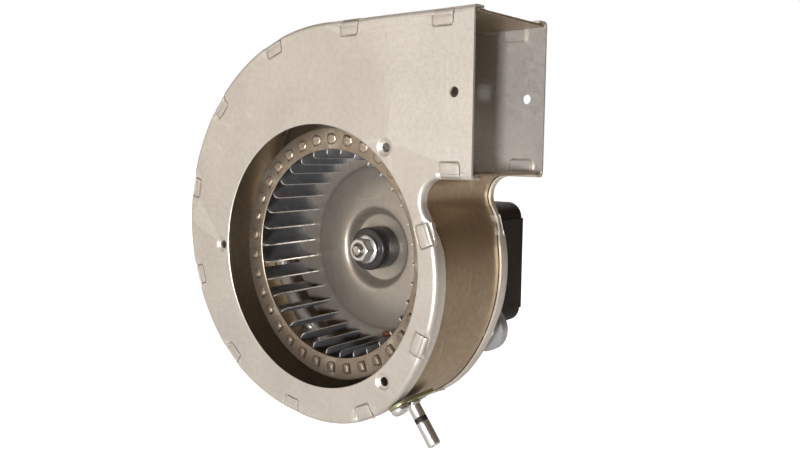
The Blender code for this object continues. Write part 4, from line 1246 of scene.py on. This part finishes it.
@dataclass
class BlowerWheel:
    """Forward-curved blades clinched between a front ring and a domed disc, on a rubber hub.

    Attributes:
        count: number of blades.
        eye, tip: radii of a blade's inner and outer edge.
        lean: how far a blade's tip leans, in degrees.
        sheet, ring_sheet, disc_sheet: thickness of the blades, the ring and the disc.
        corner, cut_back: share of a blade's width that its cut corner takes, and the cut's depth.
        ring, turned_in: the front ring's inner and outer radius and depth, and the width of its soft edges.
        dish: the disc's front, as (radius, depth) points.
        clinch: middle radius of the clinched tabs, their half length, their reach on the slit's side and on the
            other side, and their height.
        clinch_start: the angle of the first tab.
    """

    shop: Paintshop
    copies: GrowthTree
    count: int = 34
    eye: float = 44.0
    tip: float = 56.3
    lean: float = 8.0
    sheet: float = 0.6
    corner: float = 0.075
    cut_back: float = 1.4
    ring: tuple[float, float, float] = (46.8, 56.6, 11.8)
    turned_in: float = 0.6
    ring_sheet: float = 1.0
    dish: tuple[tuple[float, float], ...] = (
        (57.0, 45.3),
        (49.0, 45.3),
        (41.0, 45.3),
        (38.0, 44.2),
        (30.0, 42.4),
        (21.5, 41.5),
        (18.6, 42.6),
        (16.6, 46.4),
        (14.7, 47.5),
        (7.0, 47.5),
    )
    disc_sheet: float = 0.8
    clinch: tuple[float, float, float, float, float] = (51.4, 2.7, 2.3, 2.6, 1.5)
    clinch_start: float = 47.2

    def build(self) -> None:
        """Build and dress the wheel."""
        self.shop.fit(self.front_ring(), WHEEL, ROTOR, "front_ring")
        self.shop.fit(self.disc(), DISC, ROTOR, "impeller_disc")
        blades = [f"blade_{k + 1:02d}" for k in range(self.count)]
        self.shop.fit(self.blades(), BLADE, ROTOR, *blades)
        self.shop.fit(self.clinches("front_clinches", self.ring[2], -1.0), WHEEL, ROTOR)
        rear = self.dish[0][1] + self.disc_sheet
        self.shop.fit(self.clinches("rear_clinches", rear, 1.0), WHEEL, ROTOR)
        self.shop.fit(self.hub(), RUBBER, ROTOR, "impeller_hub")
        self.shop.fit(self.nut(), ZINC, ROTOR, "hub_nut")
        self.shop.fit(rounded_copy("balance_clip", "balance_weight", 0.15), CLIP_COPPER, ROTOR, "balance_clip")

    def front_ring(self) -> Solid:
        """The ring at the eye, pierced behind each clinched tab, with its two edges turned in."""
        inner, outer, face = self.ring

        def depth(points: np.ndarray) -> np.ndarray:
            """Depth of the ring's front: flat, but for its edges."""
            radius = np.linalg.norm(points, axis=1)
            off = np.minimum(radius - inner, outer - radius)
            return face + 0.3 * np.clip(1.0 - off / self.turned_in, 0.0, 1.0) ** 2

        holes = [circle((0.0, 0.0), inner, 160)]
        middle, half, slit = self.clinch[:3]
        for k in range(self.count):
            turn = Matrix.Rotation(math.radians(self.clinch_start) + math.tau * k / self.count, 2)
            bow = [(share, slit + 0.55 - 0.45 * share**2) for share in (-0.9, -0.4, 0.1, 0.6, 0.9)]
            loop = bow + [(share, slit - 0.7) for share in (0.9, -0.9)]
            holes.append([turn @ Vector((middle + half * share, y)) for share, y in loop])
        steps = [self.turned_in * share for share in (0.25, 0.5, 0.75, 1.0)]
        radii = [inner + step for step in steps] + [outer - step for step in steps]
        guides = [(circle((0.0, 0.0), radius, 160), True) for radius in radii]
        draft = Draft()
        PressedSheet(circle((0.0, 0.0), outer, 160), depth, holes, guides).lay(draft)
        ring = draft.make("front_ring_skin", closed=False)
        thicken(ring, self.ring_sheet * 0.9)
        round_edges(ring, 0.08, 1, 60.0)
        return ring

    def clinches(self, name: str, face: float, outward: float) -> Solid:
        """The blades' tabs, bent over a sheet: each is a faceted lump, steep on its slit's side.

        Args:
            name: the piece's name.
            face: depth of the sheet's side that they lie on.
            outward: direction of that side along the shaft, 1 or -1.

        Returns:
            All the tabs as one piece.
        """
        middle, half, slit, far, height = self.clinch
        draft, rows = Draft(), []
        outline = ((1.0, 0.25), (0.72, 1.0), (-0.66, 1.0), (-1.0, 0.35), (-0.8, -0.6), (-0.2, -1.0), (0.6, -0.85))
        for rise, shrink, lead in ((-0.3, 1.0, 1.0), (0.35, 0.96, 1.0), (0.85, 0.74, 0.86), (1.0, 0.42, 0.55)):
            ring = []
            for x, y in outline:
                reach = slit * lead if y > 0.0 else far * shrink
                slope = 1.0 if y > 0.0 or rise < 0.0 else 1.0 + 0.5 * y
                ring.append(spot((middle + half * x * shrink, reach * y), face + outward * height * rise * slope))
            rows.append(draft.row(ring))
        draft.skin(rows, ringed=True)
        draft.cap(rows[-1])
        tab = draft.make("clinch_template", closed=False)
        sides = bmesh.new()
        sides.from_mesh(tab.data)
        bmesh.ops.recalc_face_normals(sides, faces=sides.faces)
        top = max(sides.faces, key=lambda side: side.calc_center_median().y * outward)
        if top.normal.y * outward < 0:
            bmesh.ops.reverse_faces(sides, faces=sides.faces)
        sides.to_mesh(tab.data)
        sides.free()
        round_edges(tab, 0.1, 2, 14.0)
        start, steel = math.radians(self.clinch_start), self.shop.material(WHEEL)
        return self.copies.grow(name, Piece=tab, Count=self.count, Start_Angle=start, Material=steel)

    def blade_point(self, share: float) -> Vector:
        """A point of a blade's middle line, from the eye at 0 to the tip at 1."""
        return polar(self.eye + (self.tip - self.eye) * share, -self.lean * share**2)

    def blades(self) -> Solid:
        """All the blades: thin sheets whose eye corner is cut off behind the ring."""
        gap = 0.3
        front, rear, corner = self.ring[2] + self.ring_sheet + gap, self.dish[0][1] - gap, self.corner
        shares = [corner * k / 2 for k in range(3)] + [corner + (1.0 - corner) * k / 9 for k in range(1, 10)]
        draft, rows = Draft(), []
        for share in shares:
            start = front + self.cut_back * max(1.0 - share / corner, 0.0)
            levels = [start + (rear - start) * k / 6 for k in range(7)]
            rows.append(draft.row(spot(self.blade_point(share), level) for level in levels))
        draft.skin(rows)
        blade = draft.make("blade_template", closed=False)
        blade.data.materials.append(None)
        blade.data.materials.append(None)
        thicken(blade, self.sheet, 0.0, edge_slot=1)
        edge = blade.data.attributes.new("cut_edge", "BOOLEAN", "FACE")
        edge.data.foreach_set("value", [face.material_index == 1 for face in blade.data.polygons])
        face, cut = self.shop.material(BLADE), self.shop.material(CUT_EDGE)
        return self.copies.grow(
            "blade_ring", Piece=blade, Count=self.count, Start_Angle=0.0, Material=face, Edge_Material=cut
        )

    def disc(self) -> Solid:
        """The domed disc that carries the blades."""
        front = through(self.dish, 5)
        rear = [(radius, depth + self.disc_sheet) for radius, depth in front]
        return turned("impeller_dish", front + rear[::-1], steps=144)

    def hub(self) -> Solid:
        """The rubber hub, with a soft front edge and a moulding line."""
        profile = [(3.3, 35.8), (9.3, 35.8), (9.7, 35.9), (10.0, 36.2), (10.1, 36.7), (10.1, 40.4), (9.9, 40.55)]
        profile += [(9.9, 40.85), (10.1, 41.0), (10.1, 46.9), (9.8, 47.2), (6.6, 47.2), (6.6, 52.0), (3.3, 52.0)]
        return turned("rubber_hub", profile, steps=72)

    def nut(self) -> Solid:
        """The flanged hexagon nut, chamfered at its front, with a plain bore."""
        flat, chamfer, front, flange, thread = 5.0, 4.75, 29.3, 34.1, 3.05

        def hexagon(angle: float) -> float:
            """Radius of the hexagon at an angle in degrees."""
            return flat / math.cos(math.radians(angle % 60.0 - 30.0))

        steps = 72
        angles = [360.0 * k / steps for k in range(steps)]
        rings = [
            *([place] * steps for place in ((thread, front + 0.7), (3.6, front), (chamfer, front))),
            [(hexagon(a), front + 0.55 * (hexagon(a) - chamfer)) for a in angles],
            [(hexagon(a), flange) for a in angles],
        ]
        foot = ((6.6, 0.35), (6.9, 0.6), (6.9, 1.2), (6.7, 1.4), (thread, 1.4))
        rings += [[(radius, flange + back)] * steps for radius, back in foot]
        draft = Draft()
        rows = [draft.row(spot(polar(r, a), d) for a, (r, d) in zip(angles, ring)) for ring in rings]
        draft.skin(rows + rows[:1], ringed=True)
        nut = draft.make("flanged_nut")
        round_edges(nut, 0.08, 1, 50.0)
        return nut


# --- Screws and the pressure tapping


@dataclass
class PanScrew:
    """A pan-head screw with a cross recess. Its head stands on its own origin, along Z."""

    head: float = 3.8
    height: float = 2.6
    shank: float = 2.0
    length: float = 24.0

    def build(self, name: str) -> Solid:
        """Build the screw."""
        top, edge = self.height, self.head
        crown = [(0.0, top), (0.35 * edge, 0.98 * top), (0.65 * edge, 0.88 * top), (0.88 * edge, 0.66 * top)]
        crown += [(0.98 * edge, 0.4 * top), (edge, 0.12 * top), (0.97 * edge, 0.0), (self.shank, 0.0)]
        tip = [(self.shank, -self.length + 1.0), (0.0, -self.length)]
        screw = turned(name, crown + tip, Matrix(), 40, hollow=False)
        arm, half, deep = 0.55 * edge, 0.13 * edge, 0.6 * top
        outline = ((-arm, -half), (arm, -half), (arm, half), (-arm, half))
        for turn in (20.0, 110.0):
            frame = Matrix.Translation((0.0, 0.0, top)) @ Matrix.Rotation(math.radians(turn), 4, "Z")
            recess = Draft()
            rows = [
                recess.row(frame @ Vector((x * shrink, y * shrink, z)) for x, y in outline)
                for shrink, z in ((1.1, top), (1.0, 0.0), (0.45, -deep))
            ]
            recess.skin(rows, ringed=True)
            recess.cap(rows[0])
            recess.cap(rows[-1][::-1])
            carve(screw, recess)
        return screw


def place_screws(
    name: str, tree: GrowthTree, shop: Paintshop, screw: PanScrew, seats: Sequence[tuple[Vector, Vector]]
) -> Solid:
    """Screws of one kind at their seats.

    Args:
        name: the piece's name.
        tree: the tree that copies a piece to places.
        shop: where their finish comes from.
        screw: the kind of screw.
        seats: where each head stands, and the direction that it faces.

    Returns:
        All of them as one piece.
    """
    turned_seats = [(place, facing.to_track_quat("Z", "Y").to_euler()) for place, facing in seats]
    return tree.grow_at(name, screw.build("screw_template"), turned_seats, shop.material(ZINC))


@dataclass
class PressureTapping:
    """A short tube on a small bracket under the scroll, with its screw.

    Attributes:
        angle: where it is round the shaft.
        root: radius of the bracket's seat.
        length, band: the tube's reach from there, and its dark band's place.
        tube_depth, screw_depth: places of the tube and of the screw along the shaft.
        bracket, bracket_middle: the bracket's width, length and thickness, and its middle's place along the shaft.
        lift: gap between the bracket and what stands on it.
    """

    shop: Paintshop
    places: GrowthTree
    angle: float = -52.2
    root: float = 72.5
    length: float = 21.6
    band: float = 9.6
    tube_depth: float = 13.4
    screw_depth: float = 4.8
    bracket: tuple[float, float, float] = (11.0, 23.6, 1.5)
    bracket_middle: float = 12.2
    lift: float = 0.3

    def build(self) -> None:
        """Build and dress the tapping."""
        outwards = spot(polar(1.0, self.angle), 0.0)
        self.frame = Matrix((BEHIND.cross(outwards), BEHIND, outwards)).transposed().to_4x4()
        self.shop.fit(self.plate(), YELLOW_ZINC, CASING, "tapping_bracket")
        self.shop.fit(self.tube(), ZINC, CASING, "tapping_tube")
        self.shop.fit(self.sleeve(), LACQUER, CASING)
        seat = self.frame @ Vector((0.0, self.screw_depth, self.root + self.bracket[2] + self.lift))
        screw = PanScrew(4.0, 3.0, 2.0, 1.5)
        head = place_screws("tapping_screw_head", self.places, self.shop, screw, [(seat, outwards)])
        self.shop.fit(head, ZINC, CASING, "tapping_screw")

    def plate(self) -> Solid:
        """The bracket, with round corners and its two holes."""
        width, length, thickness = self.bracket
        outline = []
        for sx, sy, start, corner, back in (
            (1, 1, 0, 1.5, 0.0),
            (-1, 1, 90, 1.5, 0.0),
            (-1, -1, 180, 5.0, 1.0),
            (1, -1, 270, 5.0, 1.0),
        ):
            middle = self.bracket_middle + sy * (length / 2 - corner) + back
            centre = Vector((sx * (width / 2 - corner), middle))
            outline += [centre + polar(corner, angle) for angle in range(start, start + 91, 18)]
        draft = Draft()
        draft.prism(outline, self.frame, self.root, self.root + thickness)
        plate = draft.make("tapping_foot")
        for depth, radius in ((self.tube_depth, 2.9), (self.screw_depth, 2.3)):
            cutter = Draft()
            cutter.prism(circle((0.0, depth), radius, 32), self.frame, self.root - 1.0, self.root + 4.0)
            carve(plate, cutter)
        round_edges(plate, 0.3, 2)
        return plate

    def tube(self) -> Solid:
        """The tube: a collar, a neck with a dark groove, and a thicker end to hold a hose."""
        start, tip, band = self.root + self.lift, self.root + self.length, self.root + self.band
        seat = self.root + self.bracket[2] + self.lift
        profile = [(1.6, start), (2.8, start), (2.8, seat), (3.5, seat), (3.7, seat + 0.2)]
        profile += [(3.7, seat + 0.8), (3.5, seat + 1.1), (3.0, seat + 1.3), (2.85, seat + 1.8)]
        profile += [(2.85, band - 1.2), (2.5, band - 1.0), (2.5, band + 1.0), (2.9, band + 1.2)]
        profile += [(2.9, tip - 0.9), (2.6, tip - 0.3), (2.2, tip), (1.7, tip), (1.6, tip - 0.3)]
        return turned("tapping_spigot", profile, self.frame @ Matrix.Translation((0.0, self.tube_depth, 0.0)))

    def sleeve(self) -> Solid:
        """The dark ring in the tube's groove."""
        low, high = self.root + self.band - 0.95, self.root + self.band + 0.95
        profile = [(2.55, low), (2.75, low), (2.84, low + 0.2), (2.84, high - 0.2), (2.75, high), (2.55, high)]
        return turned("tapping_band", profile, self.frame @ Matrix.Translation((0.0, self.tube_depth, 0.0)))


# --- Motor


def rounded_rectangle(width: float, height: float, corner: float, steps: int = 4) -> Path:
    """A rectangle with round corners, centred on the origin."""
    return [
        Vector((sx * (width / 2 - corner), sy * (height / 2 - corner))) + polar(corner, start + 90.0 * k / steps)
        for sx, sy, start in ((1, 1, 0.0), (-1, 1, 90.0), (-1, -1, 180.0), (1, -1, 270.0))
        for k in range(steps + 1)
    ]


@dataclass
class ShadedPoleMotor:
    """A laminated stack with a coil round its lower leg, between a cast spider and a rear bar.

    Attributes:
        stack: depths of the stack's front and rear.
        half, top, bottom, corner, proud: of the stack's outline.
        bore: radius of the stack's bore.
        window: half width of the coil's window, and its lower and upper side.
        sheets: number of sheets in the stack.
        wall, build_up: thickness of the bobbin's wall and of the winding.
        cheek, wire: thickness of the bobbin's cheeks, and the wire's radius.
        screw_x, screw_seat: how far to each side the long screws are, and the depth that they start from.
        spider_rear, leg_pitch, leg_angles: depth of the spider's feet, and where they are round the shaft.
        bar_rear: depth of the rear bar's face.
        shaft: radius, front and rear of the shaft.
        fan, paddles: radius, front and rear of the cooling fan, and its number of paddles.
    """

    shop: Paintshop
    copies: GrowthTree
    places: GrowthTree
    stack: tuple[float, float] = (82.0, 120.0)
    half: float = 34.0
    top: float = 19.5
    bottom: float = -44.0
    corner: float = 8.0
    proud: float = 1.0
    bore: float = 12.6
    window: tuple[float, float, float] = (20.0, -31.0, -17.5)
    sheets: int = 56
    wall: float = 1.0
    build_up: float = 3.6
    cheek: float = 1.2
    wire: float = 0.3
    screw_x: float = 26.0
    screw_seat: float = 71.5
    spider_rear: float = 76.0
    leg_pitch: float = LEG_PITCH
    leg_angles: tuple[float, ...] = LEG_ANGLES
    bar_rear: float = 123.3
    shaft: tuple[float, float, float] = (3.0, 27.6, 127.0)
    fan: tuple[float, float, float] = (34.0, 57.0, 67.5)
    paddles: int = 7

    def build(self) -> None:
        """Build and dress the motor."""
        self.shop.fit(self.laminations(), LACQUER, CASING, "stator_stack")
        self.shop.fit(self.bobbin(), NYLON, CASING, "coil_bobbin")
        self.winding()
        self.shop.fit(rounded_copy("motor_spider", "cast_spider", 0.7, 3), CAST, CASING, "motor_spider")
        self.shop.fit(rounded_copy("rear_bracket", "rear_bar", 0.6, 2), CAST, CASING, "rear_bracket")
        gap = 0.3
        feet = [(spot(polar(self.leg_pitch, a), self.spider_rear + gap), BEHIND) for a in self.leg_angles]
        names = [f"spider_screw_{k}" for k in (1, 2, 3)]
        screws = place_screws("spider_screws", self.places, self.shop, PanScrew(), feet)
        self.shop.fit(screws, ZINC, CASING, *names)
        ends = [(Vector((side * self.screw_x, self.bar_rear + gap, 0.0)), BEHIND) for side in (-1, 1)]
        long_screw = PanScrew(length=self.bar_rear - self.screw_seat)
        screws = place_screws("motor_screws", self.places, self.shop, long_screw, ends)
        self.shop.fit(screws, ZINC, CASING, "motor_screw_1", "motor_screw_2")
        self.shop.fit(self.shaft_bar(), SHAFT_STEEL, ROTOR, "motor_shaft")
        self.shop.fit(self.fan_plate(), NYLON, ROTOR, "cooling_fan")
        self.shop.fit(self.fan_paddles(), NYLON, ROTOR)
        for node, finish in (("rotor_core", SHAFT_STEEL), ("front_bearing", BRONZE), ("rear_bearing", BRONZE)):
            self.shop.redress(node, finish)

    def outline(self) -> Path:
        """A rectangle with round corners, whose sides stand a little proud between them."""
        half, top, bottom, corner = self.half, self.top, self.bottom, self.corner
        line: Path = []
        for centre, start in (
            ((half - corner, top - corner), 0.0),
            ((-half + corner, top - corner), 90.0),
            ((-half + corner, bottom + corner), 180.0),
            ((half - corner, bottom + corner), 270.0),
        ):
            line += [Vector(centre) + polar(corner, start + 11.25 * k) for k in range(9)]
            side, level = math.copysign(half + self.proud, centre[0]), centre[1]
            if start in (90.0, 270.0):
                line += [Vector((side, level)), Vector((side, bottom + corner if level > 0 else top - corner))]
        return line

    def laminations(self) -> Solid:
        """The stack: thin sheets, each with the rotor's bore, the coil's window and the screws' holes."""
        half, low, high = self.window
        window = [p + Vector((0.0, (low + high) / 2)) for p in rounded_rectangle(2 * half, high - low, 1.0, 3)]
        holes = [circle((0.0, 0.0), self.bore, 48), window]
        holes += [circle((side * self.screw_x, 0.0), 2.3, 16) for side in (-1, 1)]
        draft = Draft()
        front, rear = self.stack
        pitch = (rear - front) / self.sheets
        PressedSheet(self.outline(), lambda points: np.full(len(points), front + 0.05), holes).lay(draft)
        sheet = draft.make("lamination_template", closed=False)
        thicken(sheet, 0.8 * pitch)
        tree, black = stack_tree(), self.shop.material(LACQUER)
        return tree.grow("laminated_stack", Sheet=sheet, Count=self.sheets, Pitch=pitch * MM, Material=black)

    def leg(self) -> tuple[float, float, Vector]:
        """Height and depth of the bobbin's inside, and the middle of the stack's lower leg."""
        front, rear = self.stack
        height, depth = self.window[1] - self.bottom + 0.6, rear - front + 0.6
        return height, depth, Vector((0.0, (front + rear) / 2, (self.bottom + self.window[1]) / 2))

    def bobbin(self) -> Solid:
        """The nylon bobbin, with a cheek at each end."""
        height, depth, middle = self.leg()
        end, cheek, brim = self.window[0] - 0.6, self.cheek, self.wall + self.build_up + 0.3
        profile = [(0.0, -end), (brim, -end), (brim, cheek - end), (self.wall, cheek - end)]
        profile += [(grow, -x) for grow, x in profile[::-1]]
        draft = Draft()
        rows = []
        for grow, x in profile:
            loop = rounded_rectangle(depth + 2 * grow, height + 2 * grow, 0.4 + 0.4 * grow)
            rows.append(draft.row(middle + Vector((x, p.x, p.y)) for p in loop))
        draft.skin(rows + rows[:1], ringed=True)
        bobbin = draft.make("bobbin_moulding")
        round_edges(bobbin, 0.25, 2)
        return bobbin

    def winding(self) -> None:
        """The coil's two outer layers of wire, and its terminals."""
        height, depth, middle = self.leg()
        wire, tree = self.wire, coil_tree()
        span = 2 * (self.window[0] - 0.6 - self.cheek) - 0.8
        for name, layer, nodes in (("coil_outer_layer", 0.0, ("coil_winding",)), ("coil_under_layer", 0.55, ())):
            grow = self.wall + self.build_up - wire - layer
            coil = tree.grow(
                name,
                Height=(height + 2 * grow) * MM,
                Depth=(depth + 2 * grow) * MM,
                Corner=3.0 * MM,
                Wire_Radius=wire * MM,
                Turns=int((span - layer) / (2 * wire)),
                Pitch=2 * wire * MM,
                Middle=middle * MM,
                Material=self.shop.material(COPPER),
            )
            self.shop.fit(coil, COPPER, CASING, *nodes)
        draft = Draft()
        foot = middle.z - height / 2 - self.wall - self.build_up - 0.3
        blade = ((-2.4, 1.0), (2.4, 1.0), (2.4, -4.6), (1.7, -5.6), (-1.7, -5.6), (-2.4, -4.6))
        for x in (-8.0, 8.0):
            frame = Matrix.Translation((x, middle.y, foot)) @ Matrix.Rotation(math.radians(90.0), 4, "X")
            draft.prism(blade, frame, -0.4, 0.4)
        terminals = draft.make("coil_terminals")
        round_edges(terminals, 0.15, 1)
        self.shop.fit(terminals, ZINC, CASING)

    def shaft_bar(self) -> Solid:
        """The shaft, threaded at the nut's end."""
        radius, front, rear = self.shaft
        profile = [(0.0, front), (1.9, front), (2.45, front + 0.3)]
        turns, pitch = 9, 1.0
        for k in range(turns):
            start = front + 0.5 + pitch * k
            crest = radius - 0.03
            profile += [(radius - 0.4, start), (crest, start + 0.45 * pitch), (crest, start + 0.55 * pitch)]
        profile.append((radius, front + 1.0 + pitch * turns))
        profile += [(radius, rear - 0.6), (radius - 0.6, rear), (0.0, rear)]
        return turned("rotor_shaft", profile, steps=40, hollow=False)

    def fan_plate(self) -> Solid:
        """The cooling fan's hub and plate."""
        radius, front, rear = self.fan
        profile = [(3.3, front), (6.4, front), (7.0, front + 0.6), (7.0, rear - 2.3), (7.8, rear - 1.5)]
        profile += [(radius - 0.5, rear - 1.5), (radius, rear - 1.1), (radius, rear - 0.4), (radius - 0.5, rear)]
        profile += [(3.3, rear)]
        return turned("cooling_fan_plate", profile, steps=80)

    def fan_paddles(self) -> Solid:
        """The cooling fan's paddles, slightly swept."""
        radius, front, rear = self.fan
        draft, rows = Draft(), []
        for share in (k / 8 for k in range(9)):
            point = polar(6.0 + (radius - 7.0) * share, -6.0 * share**2)
            levels = (front + 0.6 + 1.5 * share, (front + rear) / 2, rear - 1.3)
            rows.append(draft.row(spot(point, level) for level in levels))
        draft.skin(rows)
        paddle = draft.make("paddle_template", closed=False)
        thicken(paddle, 1.4, 0.0)
        round_edges(paddle, 0.3, 2)
        white = self.shop.material(NYLON)
        return self.copies.grow(
            "cooling_fan_paddles", Piece=paddle, Count=self.paddles, Start_Angle=0.0, Material=white
        )


# --- Studio


def direction(bearing_deg: float, lift_deg: float) -> Vector:
    """The way to something that is seen from the fan at a bearing to the right of the inlet's axis and a lift."""
    bearing, lift = math.radians(bearing_deg), math.radians(lift_deg)
    return Vector((math.sin(bearing) * math.cos(lift), -math.cos(bearing) * math.cos(lift), math.sin(lift)))


@dataclass(frozen=True)
class Lamp:
    """A soft square light that faces the fan.

    Attributes:
        bearing: degrees to the right of the inlet's own axis, seen from the inlet's side.
        lift: degrees above level.
        distance, size: in metres.
        power: in watts.
        tint: its colour.
    """

    name: str
    bearing: float
    lift: float
    distance: float
    size: float
    power: float
    tint: Colour = (1.0, 1.0, 1.0)

    def light(self) -> None:
        """Put the light in the scene."""
        data = bpy.data.lights.new(self.name, "AREA")
        data.shape, data.size, data.energy, data.color = "SQUARE", self.size, self.power, self.tint
        lamp = bpy.data.objects.new(self.name, data)
        towards = direction(self.bearing, self.lift)
        lamp.location = towards * self.distance
        lamp.rotation_euler = towards.to_track_quat("Z", "Y").to_euler()
        bpy.context.scene.collection.objects.link(lamp)


@dataclass
class Studio:
    """A pale floor, soft lights, a plain surround and the camera.

    Attributes:
        floor_level: height of the floor.
        camera_place: of the camera, in metres.
        bearing, lift, roll: the camera's turn about the upright, above level and about its own axis, in degrees.
        lens: focal length in millimetres.
        lamps: the lights.
    """

    floor_level: float = -0.16
    camera_place: tuple[float, float, float] = (0.2405, -0.2375, 0.0487)
    bearing: float = 38.92
    lift: float = 5.83
    roll: float = 0.58
    lens: float = 35.04
    lamps: tuple[Lamp, ...] = (
        Lamp("key", 24.5, -1.0, 1.6, 0.16, 28.0, (0.98, 0.98, 1.0)),
        Lamp("left_fill", -42.0, 8.0, 1.3, 1.1, 2.6, (1.0, 0.92, 0.81)),
        Lamp("top_fill", 10.0, 75.0, 1.2, 0.9, 1.5),
        Lamp("back_fill", -160.0, 30.0, 1.5, 0.8, 3.0),
    )

    def camera(self) -> None:
        """Place the camera."""
        data = bpy.data.cameras.new("camera")
        data.lens, data.sensor_width = self.lens, 36.0
        camera = bpy.data.objects.new("camera", data)
        back, roll = direction(self.bearing, self.lift), math.radians(self.roll)
        right = direction(self.bearing + 90.0, 0.0)
        up = back.cross(right)
        right, up = right * math.cos(roll) + up * math.sin(roll), up * math.cos(roll) - right * math.sin(roll)
        facing = Matrix((right, up, back)).transposed().to_4x4()
        camera.matrix_world = Matrix.Translation(self.camera_place) @ facing
        bpy.context.scene.collection.objects.link(camera)
        bpy.context.scene.camera = camera

    def surround(self) -> None:
        """White where the camera looks, and a dim warm room in what the metal mirrors."""
        world = bpy.data.worlds.new("surround")
        bpy.context.scene.world = world
        world.use_nodes = True
        weave = Weave(world.node_tree)
        output = world.node_tree.nodes["World Output"]
        parts = weave.node("SeparateXYZ", Vector=weave.node("TexCoord").outputs["Generated"])
        side = weave.ramp(parts.outputs[0], -0.8, 0.9)
        room = weave.mix(side, (0.54, 0.48, 0.41), (0.2, 0.115, 0.055))
        room = weave.mix(weave.ramp(parts.outputs[2], -0.2, -0.9), room, (0.55, 0.54, 0.52))
        dim = weave.node("Background", Color=room, Strength=0.5)
        white = weave.node("Background", Color=(1.0, 1.0, 1.0, 1.0), Strength=1.0)
        seen = weave.node("LightPath").outputs["Is Camera Ray"]
        mixed = weave.node("MixShader", _0=seen, _1=dim.outputs[0], _2=white.outputs[0])
        weave.put(output.inputs["Surface"], mixed.outputs[0])

    def floor(self) -> None:
        """The pale floor, well below the fan."""
        draft = Draft()
        draft.cap(draft.row(Vector((x, y, 0.0)) for x, y in ((-6e3, -6e3), (6e3, -6e3), (6e3, 6e3), (-6e3, 6e3))))
        floor = draft.make("floor", closed=False)
        floor.location.z = self.floor_level
        material = bpy.data.materials.new("pale_floor")
        material.use_nodes = True
        shader = material.node_tree.nodes["Principled BSDF"]
        shader.inputs["Base Color"].default_value = (0.9, 0.9, 0.89, 1.0)
        shader.inputs["Roughness"].default_value = 0.9
        shader.inputs["Emission Color"].default_value = (1.0, 1.0, 1.0, 1.0)
        weave = Weave(material.node_tree)
        seen = weave.node("LightPath").outputs["Is Camera Ray"]
        weave.put(shader.inputs["Emission Strength"], weave.sum("MULTIPLY_ADD", seen, 0.8, 0.2))
        floor.data.materials.append(material)

    def light(self) -> None:
        """Set up the surround, the floor and the lights."""
        bpy.context.scene.view_settings.view_transform = "Standard"
        self.surround()
        self.floor()
        for lamp in self.lamps:
            lamp.light()


def main() -> None:
    """Build every part of the fan round its frame, and note the sizes."""
    logging.basicConfig(level=logging.INFO, format="%(name)s: %(message)s")
    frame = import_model()
    FRAME_NODES.update(frame["nodes"])
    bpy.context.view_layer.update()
    studio = Studio()
    studio.camera()
    shop = Paintshop()
    places, copies = places_tree(), ring_tree()
    ScrollCasing(shop, places).build()
    BlowerWheel(shop, copies).build()
    PressureTapping(shop, places).build()
    ShadedPoleMotor(shop, copies, places).build()
    studio.light()


if __name__ == "__main__":
    main()
